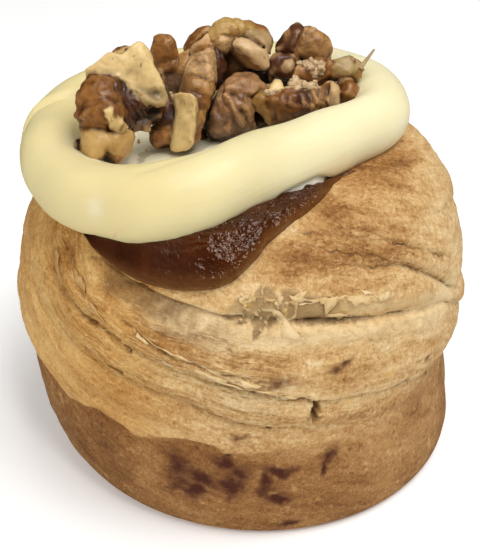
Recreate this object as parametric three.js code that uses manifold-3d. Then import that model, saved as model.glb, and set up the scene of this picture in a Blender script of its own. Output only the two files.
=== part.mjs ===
// A cruffin: croissant dough coiled and baked in a straight-sided ring, topped with a run of brown
// sauce, a piped ring of pale icing and broken walnut pieces in the middle of the ring.
// Millimetres, +Z up. The origin is the centre of the flat underside, and the sauce runs down at -Y.
import * as THREE from "three";
import { mergeVertices } from "three/addons/utils/BufferGeometryUtils.js";
import Module from "manifold-3d";

const wasm = await Module();
wasm.setup();

const { degToRad, smoothstep, lerp, clamp } = THREE.MathUtils;
const TURN = 2 * Math.PI;

// Pastry: a wall shaped by the baking ring, under a risen crown that hangs over it
const UNDERSIDE_RADIUS = 40;
const WALL_RADIUS = 42.6;
const EDGE_HEIGHT = 8;
const LIP_HEIGHT = 24.5;
const CROWN_RADIUS = 44.4;
const CROWN_HEIGHT = 34;
const SHOULDER_RADIUS = 38.4;
const SHOULDER_HEIGHT = 55.4;
const RIM_RADIUS = 30;
const RIM_HEIGHT = 60.8;
const TOP_HEIGHT = 61.5;
const TILT_X = 0.065; // the top climbs towards +X
const TILT_Y = 0.05; // and towards +Y
const OUT_OF_ROUND = 0.5;
const SOFT_LEFT = 5.2; // the lower edge draws in on the left
const SOFT_RIGHT = -2.2; // and is fuller on the right
const SOFT_EDGE_HEIGHT = 24;
const SOFT_EDGE_ANGLE = degToRad(-172);

// Folds: strips of dough that wind round the crown, each lying over the one below it
const FOLDS = 9;
const FOLD_RISE = 10; // between one seam and the next, measured straight up
const FOLD_START = 0.1;
const FOLD_DEPTH = 1.7;
const STRIP_ROWS = 8; // rows of the mesh to a strip, so that its diagonals follow the seams
const SPLIT_SEAM = 3; // this seam has torn open in the oven
const SPLIT_DEPTH = 3.6;
const SPLIT_HEIGHT = 2.6;
const SPLIT_FROM = degToRad(-86);
const SPLIT_TO = degToRad(-18);

// Icing: a thick piped ring with a dished floor, a little left of the pastry's middle
const RING_X = -3.8;
const RING_Y = 0.2;
const RING_RADIUS = 30.7;
const RING_FLATS = [
  { angle: degToRad(-58), reach: 18 }, // the front right side is pulled straight
  { angle: degToRad(95), reach: 25.5 }, // and so is the back
];
const RING_CORNER = 10; // how tight the bends at the ends of the straights are
const TUBE_WIDTH = 12.4;
const TUBE_HEIGHT = 12.8;
const TUBE_SWELL = 0.2; // fuller at the front left, thinner at the back right
const TUBE_SWELL_ANGLE = degToRad(-135);
const RING_HEIGHT = 65.4; // the tube's middle line lies in a plane that climbs to the right
const RING_TILT_X = 0.075;
const RING_TILT_Y = 0.03;
const TUBE_FOOT = 0.2; // the share of its half width that rests on the pastry
const TUBE_FROM = degToRad(-72);
const TUBE_TO = degToRad(205);
const FLOOR_THICKNESS = 2.2;
const RING_SECTORS = 50;

// Sauce: a flat lobe that runs out from under the ring and down the shoulder
const SAUCE_ANGLE = degToRad(-89);
const SAUCE_HALF_SPREAD = degToRad(46);
const SAUCE_TOP = 0.86; // places along the crown's curve, from the lip at 0 to the middle at 1
const SAUCE_BOTTOM = 0.55;
const SAUCE_LEAN = 0.13; // it runs lower on the left
const SAUCE_TAPER = 0.65; // and is a narrow strip on the right
const SAUCE_THICKNESS = 3.6;

// Walnuts: pieces broken from kernels, heaped in the dish of the ring. Each is a few lobes grown
// together; a lobe runs from its foot to its tip, its skin side faces one way, and it may be broken
// off flat, by a direction and a share of its half size
const RIDGE_DEPTH = 0.1;
const KNOT_DEPTH = 0.06;
const KNOTS = 7;
const BREAK_FLATNESS = 0.94;
const LOBE_DETAIL = [11, 7];
const PLAIN_LOBE = { skin: [0, -1, 0.3], taper: 0, bend: 0, ridges: 3, breaks: [] };
const lobe = (foot, tip, width, depth, more = {}) => ({ ...PLAIN_LOBE, foot, tip, width, depth, ...more });
const WALNUTS = [
  [
    lobe([-24.5, -11.5, 65], [-23.5, -6, 79.5], 9.5, 9.5, { skin: [-0.9, -0.5, 0], bend: 1.5, ridges: 5 }),
    lobe([-28, -12.5, 67], [-19.5, -12, 67], 8, 7),
    lobe([-28, -5.5, 79], [-13.2, -5, 74.5], 11, 6, { skin: [0.2, -0.6, 0.8], breaks: [[0, 0, 1, 0.35]] }),
    lobe([-20, -5, 76], [-17.4, -4, 83.5], 5.5, 4.5, { skin: [0.2, -0.8, 0.6], breaks: [[0, 0, 1, 0.3]] }),
  ],
  [
    lobe([-13.9, 9, 69], [-14.3, 10, 80.2], 5, 5),
    lobe([-13, 7, 65], [-10.6, 9, 77], 6, 6),
  ],
  [
    lobe([-11.5, -4.5, 63], [-5, 6, 80], 6.5, 7, { bend: 0.8, ridges: 4 }),
    lobe([-15.4, -4, 63.5], [-12.9, -1, 72], 5, 5),
    lobe([-10.6, -6, 64], [-9.6, -4, 74], 4.4, 4, { skin: [-0.3, -0.9, 0.2], breaks: [[0, 0, 1, 0.2]] }),
  ],
  [
    lobe([-6.2, 9, 76], [0.2, 12, 82.4], 7, 7),
    lobe([-2.3, 12, 81], [6.7, 13, 76.5], 6.5, 7),
    lobe([-1, 8, 79.6], [5.9, 7, 74.3], 4.8, 5),
    lobe([-2, 11, 68], [0, 11, 79], 9, 8),
  ],
  [
    lobe([-3.7, -2, 63], [1.1, 4, 75], 8.6, 9, { bend: 1, ridges: 5 }),
    lobe([-6.3, -1, 64.5], [-3.3, 1, 72.5], 5, 5.5),
    lobe([-3.4, 3, 72.6], [4.6, 4, 72.2], 6, 5.5),
  ],
  [
    lobe([9.3, 13, 66], [10.4, 15, 80.6], 7, 8),
    lobe([14.2, 13, 66], [13.9, 15, 80.2], 8.5, 8.5),
  ],
  [
    lobe([2.4, 0, 68.8], [19, 4, 70.6], 7.5, 8, { ridges: 4, breaks: [[0, 0.95, -0.3, 0.4]] }),
    lobe([17.5, 3, 67.5], [17.4, 4, 73.2], 4.6, 5),
    lobe([20.2, 4, 67.5], [20.7, 5, 73.4], 4.6, 5),
  ],
  [
    lobe([14.5, 6, 73.8], [23.9, 7, 75.2], 4.5, 4.5),
    lobe([11, 5, 72.8], [17, 7, 76], 4.5, 4),
  ],
  [lobe([8.9, 7, 71.5], [8.9, 8, 77.4], 4.8, 4.8)],
  [lobe([-7.2, 15, 67], [-7.6, 17, 79.2], 7.5, 7)],
];

const WALNUT_COLOUR = 0x86582d;
const PASTRY_COLOUR = 0xc1995f;
const ICING_COLOUR = 0xe6d8a6;
const SAUCE_COLOUR = 0x472510;
const GAP = 0.3; // between neighbours
const SINK = 0.8; // how far the icing and the sauce press into the pastry

// Curves of the pastry's section, as radius and height
const point = (radius, height) => new THREE.Vector2(radius, height);
const underside = new THREE.LineCurve(point(0, 0), point(UNDERSIDE_RADIUS, 0));
const edge = new THREE.QuadraticBezierCurve(
  point(UNDERSIDE_RADIUS, 0),
  point(WALL_RADIUS, 0),
  point(WALL_RADIUS, EDGE_HEIGHT),
);
const wall = new THREE.LineCurve(
  point(WALL_RADIUS, EDGE_HEIGHT),
  point(WALL_RADIUS, LIP_HEIGHT),
);
const crown = new THREE.SplineCurve([
  point(WALL_RADIUS, LIP_HEIGHT),
  point(CROWN_RADIUS, CROWN_HEIGHT),
  point(lerp(CROWN_RADIUS, SHOULDER_RADIUS, 0.4), lerp(CROWN_HEIGHT, SHOULDER_HEIGHT, 0.64)),
  point(SHOULDER_RADIUS, SHOULDER_HEIGHT),
  point(RIM_RADIUS, RIM_HEIGHT),
  point(RIM_RADIUS / 2, (RIM_HEIGHT + TOP_HEIGHT) / 2),
  point(0, TOP_HEIGHT),
]);

const CROWN_LENGTH = crown.getLength();

// The last point of the crown's curve, between two places along it, that is still before a limit
function crownPoint(from, to, before) {
  let low = from;
  let high = to;
  for (let step = 0; step < 20; step++) {
    const middle = (low + high) / 2;
    if (before(crown.getPoint(middle))) low = middle;
    else high = middle;
  }
  return crown.getPoint(low);
}

const crownHeight = (radius) => crownPoint(0.25, 1, (place) => place.x > radius).y;
const crownRadius = (height) => crownPoint(0, 0.6, (place) => place.y < height).x;

// How far the lean of the top lifts a place, from nothing at the lip to all of it at the rim
const tiltAt = (x, y, height) =>
  smoothstep(height, LIP_HEIGHT, RIM_HEIGHT) * (TILT_X * x + TILT_Y * y);

// Height of the pastry's smooth top at a place on it
function topHeight(x, y) {
  const height = crownHeight(Math.hypot(x, y));
  return height + tiltAt(x, y, height);
}

// How far the folds push the surface in, at an angle and a height
function foldRelief(angle, height) {
  const turns = (height + (FOLDS * FOLD_RISE * angle) / TURN) / FOLD_RISE + FOLD_START;
  const seam = Math.floor(turns);
  const across = turns - seam;
  const strip = ((seam % FOLDS) + FOLDS) % FOLDS;
  const depth = FOLD_DEPTH * (0.7 + 0.3 * Math.cos(2.4 * strip + 2 * angle));
  const overlap = Math.pow(Math.sin(Math.PI * Math.pow(across, 0.6)), 0.7) - 1;
  const onCrown = smoothstep(height, LIP_HEIGHT - 2, LIP_HEIGHT + 5);
  const clearOfTop = 1 - smoothstep(height, SHOULDER_HEIGHT - 2, RIM_HEIGHT - 3);
  return depth * overlap * onCrown * clearOfTop;
}

// The torn seam: a trough that follows its seam for a quarter of the way round
function splitRelief(angle, height) {
  const along = (angle - SPLIT_FROM) / (SPLIT_TO - SPLIT_FROM);
  if (along <= 0 || along >= 1) return 0;
  const middle = (SPLIT_SEAM - FOLD_START) * FOLD_RISE - (FOLDS * FOLD_RISE * angle) / TURN;
  const across = (height - middle) / SPLIT_HEIGHT;
  return -SPLIT_DEPTH * Math.pow(Math.sin(Math.PI * along), 0.8) * Math.exp(-across * across);
}

// A point of the pastry without its folds, from a point of its section
function smoothPoint(angle, radius, height) {
  const low = clamp(1 - height / SOFT_EDGE_HEIGHT, 0, 1);
  const left = (1 + Math.cos(angle - SOFT_EDGE_ANGLE)) / 2;
  const softer = low * low * lerp(SOFT_RIGHT, SOFT_LEFT, left);
  const round = OUT_OF_ROUND * Math.cos(2 * angle + 1);
  const reach = radius + ((round - softer) * radius) / CROWN_RADIUS;
  const x = reach * Math.cos(angle);
  const y = reach * Math.sin(angle);
  return new THREE.Vector3(x, y, height + tiltAt(x, y, height));
}

// A point of the pastry's skin
function pastryPoint(angle, radius, height) {
  const relief = foldRelief(angle, height) + splitRelief(angle, height);
  return smoothPoint(angle, radius + relief * smoothstep(height, 0, EDGE_HEIGHT), height);
}

// Drops all but the positions and merges them, so that a closed geometry is watertight
function weld(geometry) {
  geometry.deleteAttribute("normal");
  geometry.deleteAttribute("uv");
  return mergeVertices(geometry, 1e-4);
}

// A lathe of as many rows as the section has points, with each vertex set by place(angle, row)
function latheShape(rows, sectors, place) {
  const stand = Array.from({ length: rows }, (_, row) => point(1, row));
  const geometry = new THREE.LatheGeometry(stand, sectors);
  const position = geometry.getAttribute("position");
  for (let sector = 0; sector <= sectors; sector++) {
    const angle = ((sector % sectors) / sectors) * TURN - Math.PI;
    for (let row = 0; row < rows; row++) {
      const { x, y, z } = place(angle, row);
      position.setXYZ(sector * rows + row, x, y, z);
    }
  }
  return weld(geometry);
}

// A geometry as a solid that can be cut and joined
function toSolid(geometry) {
  return new wasm.Manifold(
    new wasm.Mesh({
      numProp: 3,
      vertProperties: geometry.getAttribute("position").array,
      triVerts: new Uint32Array(geometry.index.array),
    }),
  );
}

// A solid as a geometry again
function toGeometry(solid) {
  const { vertProperties, triVerts } = solid.getMesh();
  return new THREE.BufferGeometry()
    .setAttribute("position", new THREE.BufferAttribute(new Float32Array(vertProperties), 3))
    .setIndex(new THREE.BufferAttribute(new Uint32Array(triVerts), 1));
}

// The largest body that is left of a solid once the cutters are taken away
function trim(solid, cutters) {
  const left = cutters.reduce((rest, cutter) => rest.subtract(cutter), solid);
  const bodies = left.decompose().sort((a, b) => b.volume() - a.volume());
  return toGeometry(bodies[0]);
}

// Points of the crown's curve at heights that let the seams run along the mesh
function foldRows() {
  const rows = [];
  for (let row = 0; row < FOLDS * STRIP_ROWS; row++) {
    const height = (row / STRIP_ROWS - FOLD_START) * FOLD_RISE;
    if (height > LIP_HEIGHT && height < SHOULDER_HEIGHT) rows.push(point(crownRadius(height), height));
  }
  return rows;
}

// The pastry's lathe, before the icing and the sauce press into it
function pastryGeometry() {
  const section = [
    ...underside.getPoints(1),
    ...edge.getPoints(4).slice(1),
    ...wall.getPoints(4).slice(1),
    ...foldRows(),
    ...crown.getPoints(20).filter((place) => place.y > SHOULDER_HEIGHT || place.x < RIM_RADIUS),
  ];
  return latheShape(section.length, FOLDS * STRIP_ROWS, (angle, row) =>
    pastryPoint(angle, section[row].x, section[row].y),
  );
}

// Half width and half height of the piped tube at an angle round the ring
function tubeSize(angle) {
  const swell = 1 + TUBE_SWELL * Math.cos(angle - TUBE_SWELL_ANGLE);
  return { half: (TUBE_WIDTH / 2) * swell, rise: (TUBE_HEIGHT / 2) * swell };
}

// Radius of the tube's middle line at an angle: a circle with two sides pulled straight
function ringRadius(angle) {
  const limits = RING_FLATS.map((flat) => Math.max(0, Math.cos(angle - flat.angle)) / flat.reach);
  const power = [1 / RING_RADIUS, ...limits].map((limit) => Math.pow(limit, RING_CORNER));
  return Math.pow(power.reduce((sum, one) => sum + one), -1 / RING_CORNER);
}

// Height of the tube's middle line at a place
const ringHeight = (x, y) => RING_HEIGHT + RING_TILT_X * x + RING_TILT_Y * y;

// A place on the ring at an angle and a reach from its middle, with its height from a function
function ringPlace(angle, reach, heightAt) {
  const x = RING_X + reach * Math.cos(angle);
  const y = RING_Y + reach * Math.sin(angle);
  return new THREE.Vector3(x, y, heightAt(x, y));
}

// The icing's section at an angle: along the pastry, up round the tube and back over the floor
function icingGeometry(grow = 0) {
  const underRows = 6;
  const tubeRows = 12;
  const floorRows = 4;
  const rows = underRows + tubeRows + floorRows;
  return latheShape(rows, RING_SECTORS, (angle, row) => {
    const { half, rise } = tubeSize(angle);
    const radius = ringRadius(angle);
    const middle = ringPlace(angle, radius, ringHeight).z;
    if (row < underRows) {
      const share = row / (underRows - 1);
      const reach = share * (radius + TUBE_FOOT * half + grow);
      const place = ringPlace(angle, reach, (x, y) => topHeight(x, y) - SINK - grow);
      const lowest = middle + (rise + grow) * Math.sin(TUBE_FROM);
      if (share === 1) place.z = Math.min(place.z, lowest);
      return place;
    }
    const step = row - underRows;
    if (step < tubeRows) {
      const turn = lerp(TUBE_FROM, TUBE_TO, step / (tubeRows - 1));
      const reach = radius + (half + grow) * Math.cos(turn);
      return ringPlace(angle, reach, () => middle + (rise + grow) * Math.sin(turn));
    }
    const inward = (rows - 1 - row) / floorRows;
    const reach = (radius - half) * inward;
    return ringPlace(angle, reach, (x, y) => topHeight(x, y) + FLOOR_THICKNESS + grow);
  });
}

// A lens of sauce laid on the shoulder: the disc of a sphere is spread over the pastry's skin
function sauceGeometry(grow = 0) {
  const geometry = new THREE.SphereGeometry(1, 28, 14);
  const position = geometry.getAttribute("position");
  for (let i = 0; i < position.count; i++) {
    const side = position.getX(i);
    const down = position.getY(i);
    const out = position.getZ(i);
    const angle = SAUCE_ANGLE + (SAUCE_HALF_SPREAD + grow / WALL_RADIUS) * side;
    const spread = down * (1 - SAUCE_TAPER * Math.max(0, side));
    const middle = lerp(SAUCE_BOTTOM, SAUCE_TOP, (1 + spread) / 2) + SAUCE_LEAN * side;
    const along = middle + (2 * grow * down) / CROWN_LENGTH;
    const { x: radius, y: height } = crown.getPoint(along);
    const slope = crown.getTangent(along);
    const skin = Math.sqrt(Math.abs(out));
    const lift = (out > 0 ? SAUCE_THICKNESS + grow : -SINK - grow) * skin;
    const place = smoothPoint(angle, radius + lift * slope.y, height - lift * slope.x);
    position.setXYZ(i, place.x, place.y, place.z);
  }
  return weld(geometry);
}

// A point of a lobe, from a direction: a ridged ellipsoid, flattened where it broke, then bent
function lobePoint(direction, size, shape) {
  const around = Math.atan2(direction.y, direction.z);
  const ridge = RIDGE_DEPTH * Math.cos(shape.ridges * around + 2 * direction.x);
  const knot = KNOT_DEPTH * Math.cos(KNOTS * direction.x + shape.ridges);
  const swell = 1 + ridge + knot + shape.taper * direction.x;
  const place = direction.clone().multiply(new THREE.Vector3(1, swell, swell));
  for (const [x, y, z, reach] of shape.breaks) {
    const facing = new THREE.Vector3(x, y, z).normalize();
    const excess = Math.max(0, place.dot(facing) - reach);
    place.addScaledVector(facing, -BREAK_FLATNESS * excess);
  }
  const arch = shape.bend * (0.5 - place.x * place.x);
  place.multiply(size);
  place.z += arch;
  return place;
}

// A lobe from its foot to its tip, with its skin turned to the side given
function lobeGeometry(shape, grow) {
  const foot = new THREE.Vector3(...shape.foot);
  const tip = new THREE.Vector3(...shape.tip);
  const half = new THREE.Vector3(foot.distanceTo(tip), shape.width, shape.depth).divideScalar(2);
  const size = half.addScalar(grow);
  const forward = tip.clone().sub(foot).normalize();
  const skin = new THREE.Vector3(...shape.skin);
  skin.addScaledVector(forward, -skin.dot(forward)).normalize();
  const side = skin.clone().cross(forward);
  const stand = new THREE.Matrix4().makeBasis(forward, side, skin);
  stand.setPosition(foot.add(tip).multiplyScalar(0.5));
  const geometry = new THREE.SphereGeometry(1, ...LOBE_DETAIL);
  const position = geometry.getAttribute("position");
  const direction = new THREE.Vector3();
  for (let i = 0; i < position.count; i++) {
    direction.fromBufferAttribute(position, i);
    const place = lobePoint(direction, size, shape).applyMatrix4(stand);
    position.setXYZ(i, place.x, place.y, place.z);
  }
  return weld(geometry);
}

// The lobes of one walnut piece grown together
function walnutSolid(lobes, grow = 0) {
  const solids = lobes.map((shape) => toSolid(lobeGeometry(shape, grow)));
  return solids.reduce((whole, solid) => whole.add(solid));
}

function nodeMesh(name, geometry, color, roughness) {
  const material = new THREE.MeshStandardMaterial({ color, roughness, metalness: 0 });
  const mesh = new THREE.Mesh(geometry, material);
  mesh.name = name;
  return mesh;
}

// A mesh whose geometry is about its own middle, placed where that middle lies
function placedMesh(name, geometry, color, roughness) {
  geometry.computeBoundingBox();
  const middle = geometry.boundingBox.getCenter(new THREE.Vector3());
  geometry.translate(-middle.x, -middle.y, -middle.z);
  const mesh = nodeMesh(name, geometry, color, roughness);
  mesh.position.copy(middle);
  return mesh;
}

// The walnut pieces, each cut clear of the icing and of the pieces before it
function walnutMeshes(icingSpace) {
  const taken = [icingSpace];
  return WALNUTS.map((lobes, index) => {
    const geometry = trim(walnutSolid(lobes), taken);
    taken.push(walnutSolid(lobes, GAP));
    return placedMesh(`walnut_${index + 1}`, geometry, WALNUT_COLOUR, 0.55);
  });
}

function cruffin() {
  const icingSpace = toSolid(icingGeometry(GAP));
  const sauceSpace = toSolid(sauceGeometry(GAP));
  const pastry = trim(toSolid(pastryGeometry()), [icingSpace, sauceSpace]);
  const sauce = trim(toSolid(sauceGeometry()), [icingSpace]);
  const topping = new THREE.Group();
  topping.add(...walnutMeshes(icingSpace));
  const group = new THREE.Group();
  group.add(nodeMesh("pastry", pastry, PASTRY_COLOUR, 0.75));
  group.add(nodeMesh("sauce", sauce, SAUCE_COLOUR, 0.25));
  group.add(nodeMesh("icing", icingGeometry(), ICING_COLOUR, 0.45));
  group.add(topping);
  return group;
}

export default cruffin();
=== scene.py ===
# A cruffin: coiled croissant dough with a brown crust, a run of dark sauce, a piped ring of pale icing
# and broken walnuts. Lengths here are millimetres and angles degrees, turned to metres when a mesh is made.
import bmesh
import bpy
import numpy as np
from mathutils import Matrix, Vector
from mathutils.bvhtree import BVHTree


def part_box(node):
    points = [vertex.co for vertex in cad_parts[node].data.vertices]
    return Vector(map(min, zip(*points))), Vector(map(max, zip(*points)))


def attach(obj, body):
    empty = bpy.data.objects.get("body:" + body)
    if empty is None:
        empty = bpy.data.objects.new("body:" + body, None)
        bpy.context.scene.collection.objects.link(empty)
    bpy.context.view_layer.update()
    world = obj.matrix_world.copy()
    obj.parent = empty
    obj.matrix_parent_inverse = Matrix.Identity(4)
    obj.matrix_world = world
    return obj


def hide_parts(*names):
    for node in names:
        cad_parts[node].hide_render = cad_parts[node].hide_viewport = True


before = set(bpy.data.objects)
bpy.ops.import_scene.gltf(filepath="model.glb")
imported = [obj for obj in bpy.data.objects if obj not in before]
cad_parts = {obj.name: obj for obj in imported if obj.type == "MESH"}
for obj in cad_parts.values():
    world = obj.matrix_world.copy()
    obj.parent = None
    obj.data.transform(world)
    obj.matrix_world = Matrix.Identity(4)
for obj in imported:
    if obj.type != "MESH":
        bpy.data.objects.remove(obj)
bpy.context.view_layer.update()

MM = 0.001
RADIAN = np.pi / 180
MERGE_DISTANCE = 1e-7


# Small numeric helpers

def smoothstep(value, low, high):
    share = np.clip((value - low) / (high - low), 0, 1)
    return share * share * (3 - 2 * share)


def lerp(low, high, share):
    return low + (high - low) * share


def hump(value, middle, width):
    return np.exp(-(((value - middle) / width) ** 2))


def window(value, start, full_from, full_to, end):
    return smoothstep(value, start, full_from) * (1 - smoothstep(value, full_to, end))


# An angle as a turn of at most half a round, either way
def half_turn(angle):
    return np.mod(angle + 180, 360) - 180


# The value at a place on a line of stops, each of them a place and a value
def line_at(stops, place):
    line = np.array(stops, float)
    return np.interp(place, line[:, 0], line[:, 1])


CELL_FACTORS = np.array([374761393, 668265263, 1440670441])
SEED_FACTOR = 974634541
MIXING = [(13, 1274126177), (16, 668265263)]
LAST_SHIFT = 15
MIXED_BITS = 0xFFFFFFFF
VALUE_BITS = 0xFFFF


# A value from -1 to 1 for each cell of a grid of cubes, mixed from its place and a seed
def lattice(cell, seed):
    mixed = (cell @ CELL_FACTORS + seed * SEED_FACTOR) & MIXED_BITS
    for shift, factor in MIXING:
        mixed = ((mixed ^ (mixed >> shift)) * factor) & MIXED_BITS
    return ((mixed ^ (mixed >> LAST_SHIFT)) & VALUE_BITS) / (VALUE_BITS / 2) - 1


# Smooth random values from -1 to 1 at points, with a grain of one unit. Each seed gives another pattern
def noise(points, seed):
    cell = np.floor(points).astype(np.int64)
    inside = points - cell
    ease = inside**3 * (inside * (inside * 6 - 15) + 10)
    total = np.zeros(points.shape[:-1])
    for corner in np.ndindex(2, 2, 2):
        side = np.array(corner)
        weight = np.prod(np.where(side, ease, 1 - ease), axis=-1)
        total += weight * lattice(cell + side, seed)
    return total


LAYER_SHIFT = 17.3
CREST_SHIFT = 9.1
CREST_STEEPNESS = 2.2


# Layers of noise, each half as large and half as strong as the one before
def rough(points, seed, layers=3):
    total = np.zeros(points.shape[:-1])
    for layer in range(layers):
        total += noise(points * 2**layer + LAYER_SHIFT * layer, seed + layer) / 2**layer
    return total / (2 - 2 / 2**layers)


# Sharp crests where the noise changes sign
def crests(points, seed, layers=2):
    total = np.zeros(points.shape[:-1])
    for layer in range(layers):
        away = np.abs(noise(points * 2**layer + CREST_SHIFT * layer, seed + layer))
        total += (1 - CREST_STEEPNESS * away) / 2**layer
    return total / (2 - 2 / 2**layers)


# Distance of points from a line of straight runs
def distance_to(points, line):
    stops = np.array(line, float)
    nearest = np.full(len(points), np.inf)
    for start, end in zip(stops[:-1], stops[1:]):
        way = end - start
        share = np.clip((points - start) @ way / (way @ way), 0, 1)
        nearest = np.minimum(nearest, np.linalg.norm(points - start - share[:, None] * way, axis=1))
    return nearest


# A colour as shown on a screen, turned into amounts of light
def linear(red, green, blue):
    tones = []
    for tone in (red, green, blue):
        share = tone / 255
        tones.append(share / 12.92 if share <= 0.04045 else ((share + 0.055) / 1.055) ** 2.4)
    return (*tones, 1)


# Meshes

def new_object(name, mesh):
    piece = bpy.data.objects.new(name, mesh)
    bpy.context.scene.collection.objects.link(piece)
    return piece


def new_mesh(name, body):
    mesh = bpy.data.meshes.new(name)
    body.to_mesh(mesh)
    body.free()
    return mesh


def vertex_array(mesh, field="co"):
    flat = np.zeros(len(mesh.vertices) * 3)
    mesh.vertices.foreach_get(field, flat)
    return flat.reshape(-1, 3)


def set_vertices(mesh, points):
    mesh.vertices.foreach_set("co", np.ascontiguousarray(points, dtype=np.float32).ravel())
    mesh.update()


# Paints a number, or a vector, on each vertex
def set_values(mesh, name, values):
    kind, field = ("FLOAT", "value") if values.ndim == 1 else ("FLOAT_VECTOR", "vector")
    layer = mesh.attributes.new(name, kind, "POINT")
    layer.data.foreach_set(field, np.ascontiguousarray(values, dtype=np.float32).ravel())


def paint(mesh, values):
    for label, painted in values.items():
        set_values(mesh, label, painted)


# A body opened from its mesh, to be worked on
def opened(mesh):
    body = bmesh.new()
    body.from_mesh(mesh)
    return body


# A piece with a smooth skin, from a body that goes back into its mesh with its faces turned out
def smooth_piece(name, body, mesh):
    bmesh.ops.recalc_face_normals(body, faces=body.faces)
    body.to_mesh(mesh)
    body.free()
    mesh.shade_smooth()
    return new_object(name, mesh)


# A grid of columns and rows bent round into a closed body: shape(across, up) gives the points and the
# values painted on them, from shares of the way round and of the way up
def wrapped_body(name, columns, rows, shape):
    grid = bmesh.new()
    bmesh.ops.create_grid(grid, x_segments=columns, y_segments=rows, size=0.5)
    mesh = new_mesh(name, grid)
    flat = vertex_array(mesh)
    points, values = shape(np.clip(flat[:, 0] + 0.5, 0, 1), np.clip(flat[:, 1] + 0.5, 0, 1))
    set_vertices(mesh, points * MM)
    paint(mesh, values)
    body = opened(mesh)
    bmesh.ops.remove_doubles(body, verts=body.verts, dist=MERGE_DISTANCE)
    return smooth_piece(name, body, mesh)


# Pastry: the section's curve, the same as the solid's
UNDERSIDE_RADIUS = 40
WALL_RADIUS = 42.6
EDGE_HEIGHT = 8
EDGE_STEPS = 24
LIP_HEIGHT = 24.5
CROWN_RADIUS = 44.4
CROWN_HEIGHT = 34
SHOULDER_RADIUS = 38.4
SHOULDER_HEIGHT = 55.4
RIM_RADIUS = 30
RIM_HEIGHT = 60.8
TOP_HEIGHT = 61.5
CROWN_CURVE = np.array([
    (WALL_RADIUS, LIP_HEIGHT),
    (CROWN_RADIUS, CROWN_HEIGHT),
    (lerp(CROWN_RADIUS, SHOULDER_RADIUS, 0.4), lerp(CROWN_HEIGHT, SHOULDER_HEIGHT, 0.64)),
    (SHOULDER_RADIUS, SHOULDER_HEIGHT),
    (RIM_RADIUS, RIM_HEIGHT),
    (RIM_RADIUS / 2, (RIM_HEIGHT + TOP_HEIGHT) / 2),
    (0, TOP_HEIGHT),
])
CROWN_STEPS = 400
UPPER_HEIGHT = 40  # from here up the crown only draws in
TOPPED_HEIGHT = 45  # and the toppings lie above this
TILT_X = 0.065
TILT_Y = 0.05
OUT_OF_ROUND = 0.5
OUT_OF_ROUND_TURN = 1
SOFT_LEFT = 5.2
SOFT_RIGHT = -2.2
SOFT_EDGE_HEIGHT = 24
SOFT_EDGE_ANGLE = -172


# A smooth curve through points, from 0 at the first to 1 at the last
def curve_points(stops, share):
    last = len(stops) - 1
    place = np.clip(share, 0, 1) * last
    at = np.minimum(np.floor(place).astype(int), last - 1)
    part = (place - at)[:, None]
    before = stops[np.maximum(at - 1, 0)]
    start = stops[at]
    end = stops[at + 1]
    after = stops[np.minimum(at + 2, last)]
    leave = (end - before) / 2
    arrive = (after - start) / 2
    cubic = (2 * start - 2 * end + leave + arrive) * part**3
    square = (3 * end - 3 * start - 2 * leave - arrive) * part**2
    return cubic + square + leave * part + start


def section_curve():
    share = np.linspace(0, 1, EDGE_STEPS)[:, None]
    inner = np.array([UNDERSIDE_RADIUS, 0.0])
    corner = np.array([WALL_RADIUS, 0.0])
    outer = np.array([WALL_RADIUS, EDGE_HEIGHT])
    edge = inner * (1 - share) ** 2 + corner * 2 * share * (1 - share) + outer * share**2
    crown = curve_points(CROWN_CURVE, np.linspace(0, 1, CROWN_STEPS))
    return np.concatenate([[[0, 0]], edge, crown])


SECTION = section_curve()
SECTION_LENGTH = np.concatenate([[0], np.cumsum(np.hypot(*np.diff(SECTION, axis=0).T))])
UPPER_CROWN = SECTION[SECTION[:, 1] > UPPER_HEIGHT][::-1]


def section_at(length):
    return np.interp(length, SECTION_LENGTH, SECTION[:, 0]), np.interp(length, SECTION_LENGTH, SECTION[:, 1])


# Length along the section at a height of the wall or crown
def length_at(height):
    rising = SECTION[:, 1] > 0
    return np.interp(height, SECTION[rising, 1], SECTION_LENGTH[rising])


def tilt_at(x, y, height):
    return smoothstep(height, LIP_HEIGHT, RIM_HEIGHT) * (TILT_X * x + TILT_Y * y)


# Height of the pastry's top at a place
def top_height(x, y):
    height = np.interp(np.hypot(x, y), UPPER_CROWN[:, 0], UPPER_CROWN[:, 1])
    return height + tilt_at(x, y, height)


def smooth_points(angle, radius, height):
    low = np.clip(1 - height / SOFT_EDGE_HEIGHT, 0, 1)
    left = (1 + np.cos((angle - SOFT_EDGE_ANGLE) * RADIAN)) / 2
    softer = low * low * lerp(SOFT_RIGHT, SOFT_LEFT, left)
    out_of_round = OUT_OF_ROUND * np.cos(2 * angle * RADIAN + OUT_OF_ROUND_TURN)
    reach = radius + (out_of_round - softer) * radius / CROWN_RADIUS
    x = reach * np.cos(angle * RADIAN)
    y = reach * np.sin(angle * RADIAN)
    return np.stack([x, y, height + tilt_at(x, y, height)], axis=-1)


# The bare form without any relief, at an angle and a length along the section, and the way out from it
def base_points(angle, length):
    radius, height = section_at(length)
    return smooth_points(angle, radius, height)


OUTWARD_STEP = 0.4
TINY = 1e-9


def outward(angle, length):
    round_way = base_points(angle + OUTWARD_STEP, length) - base_points(angle - OUTWARD_STEP, length)
    up_way = base_points(angle, length + OUTWARD_STEP) - base_points(angle, length - OUTWARD_STEP)
    normal = np.cross(round_way, up_way)
    size = np.linalg.norm(normal, axis=-1, keepdims=True)
    return np.where(size > TINY, normal / np.maximum(size, TINY), 0)


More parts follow.
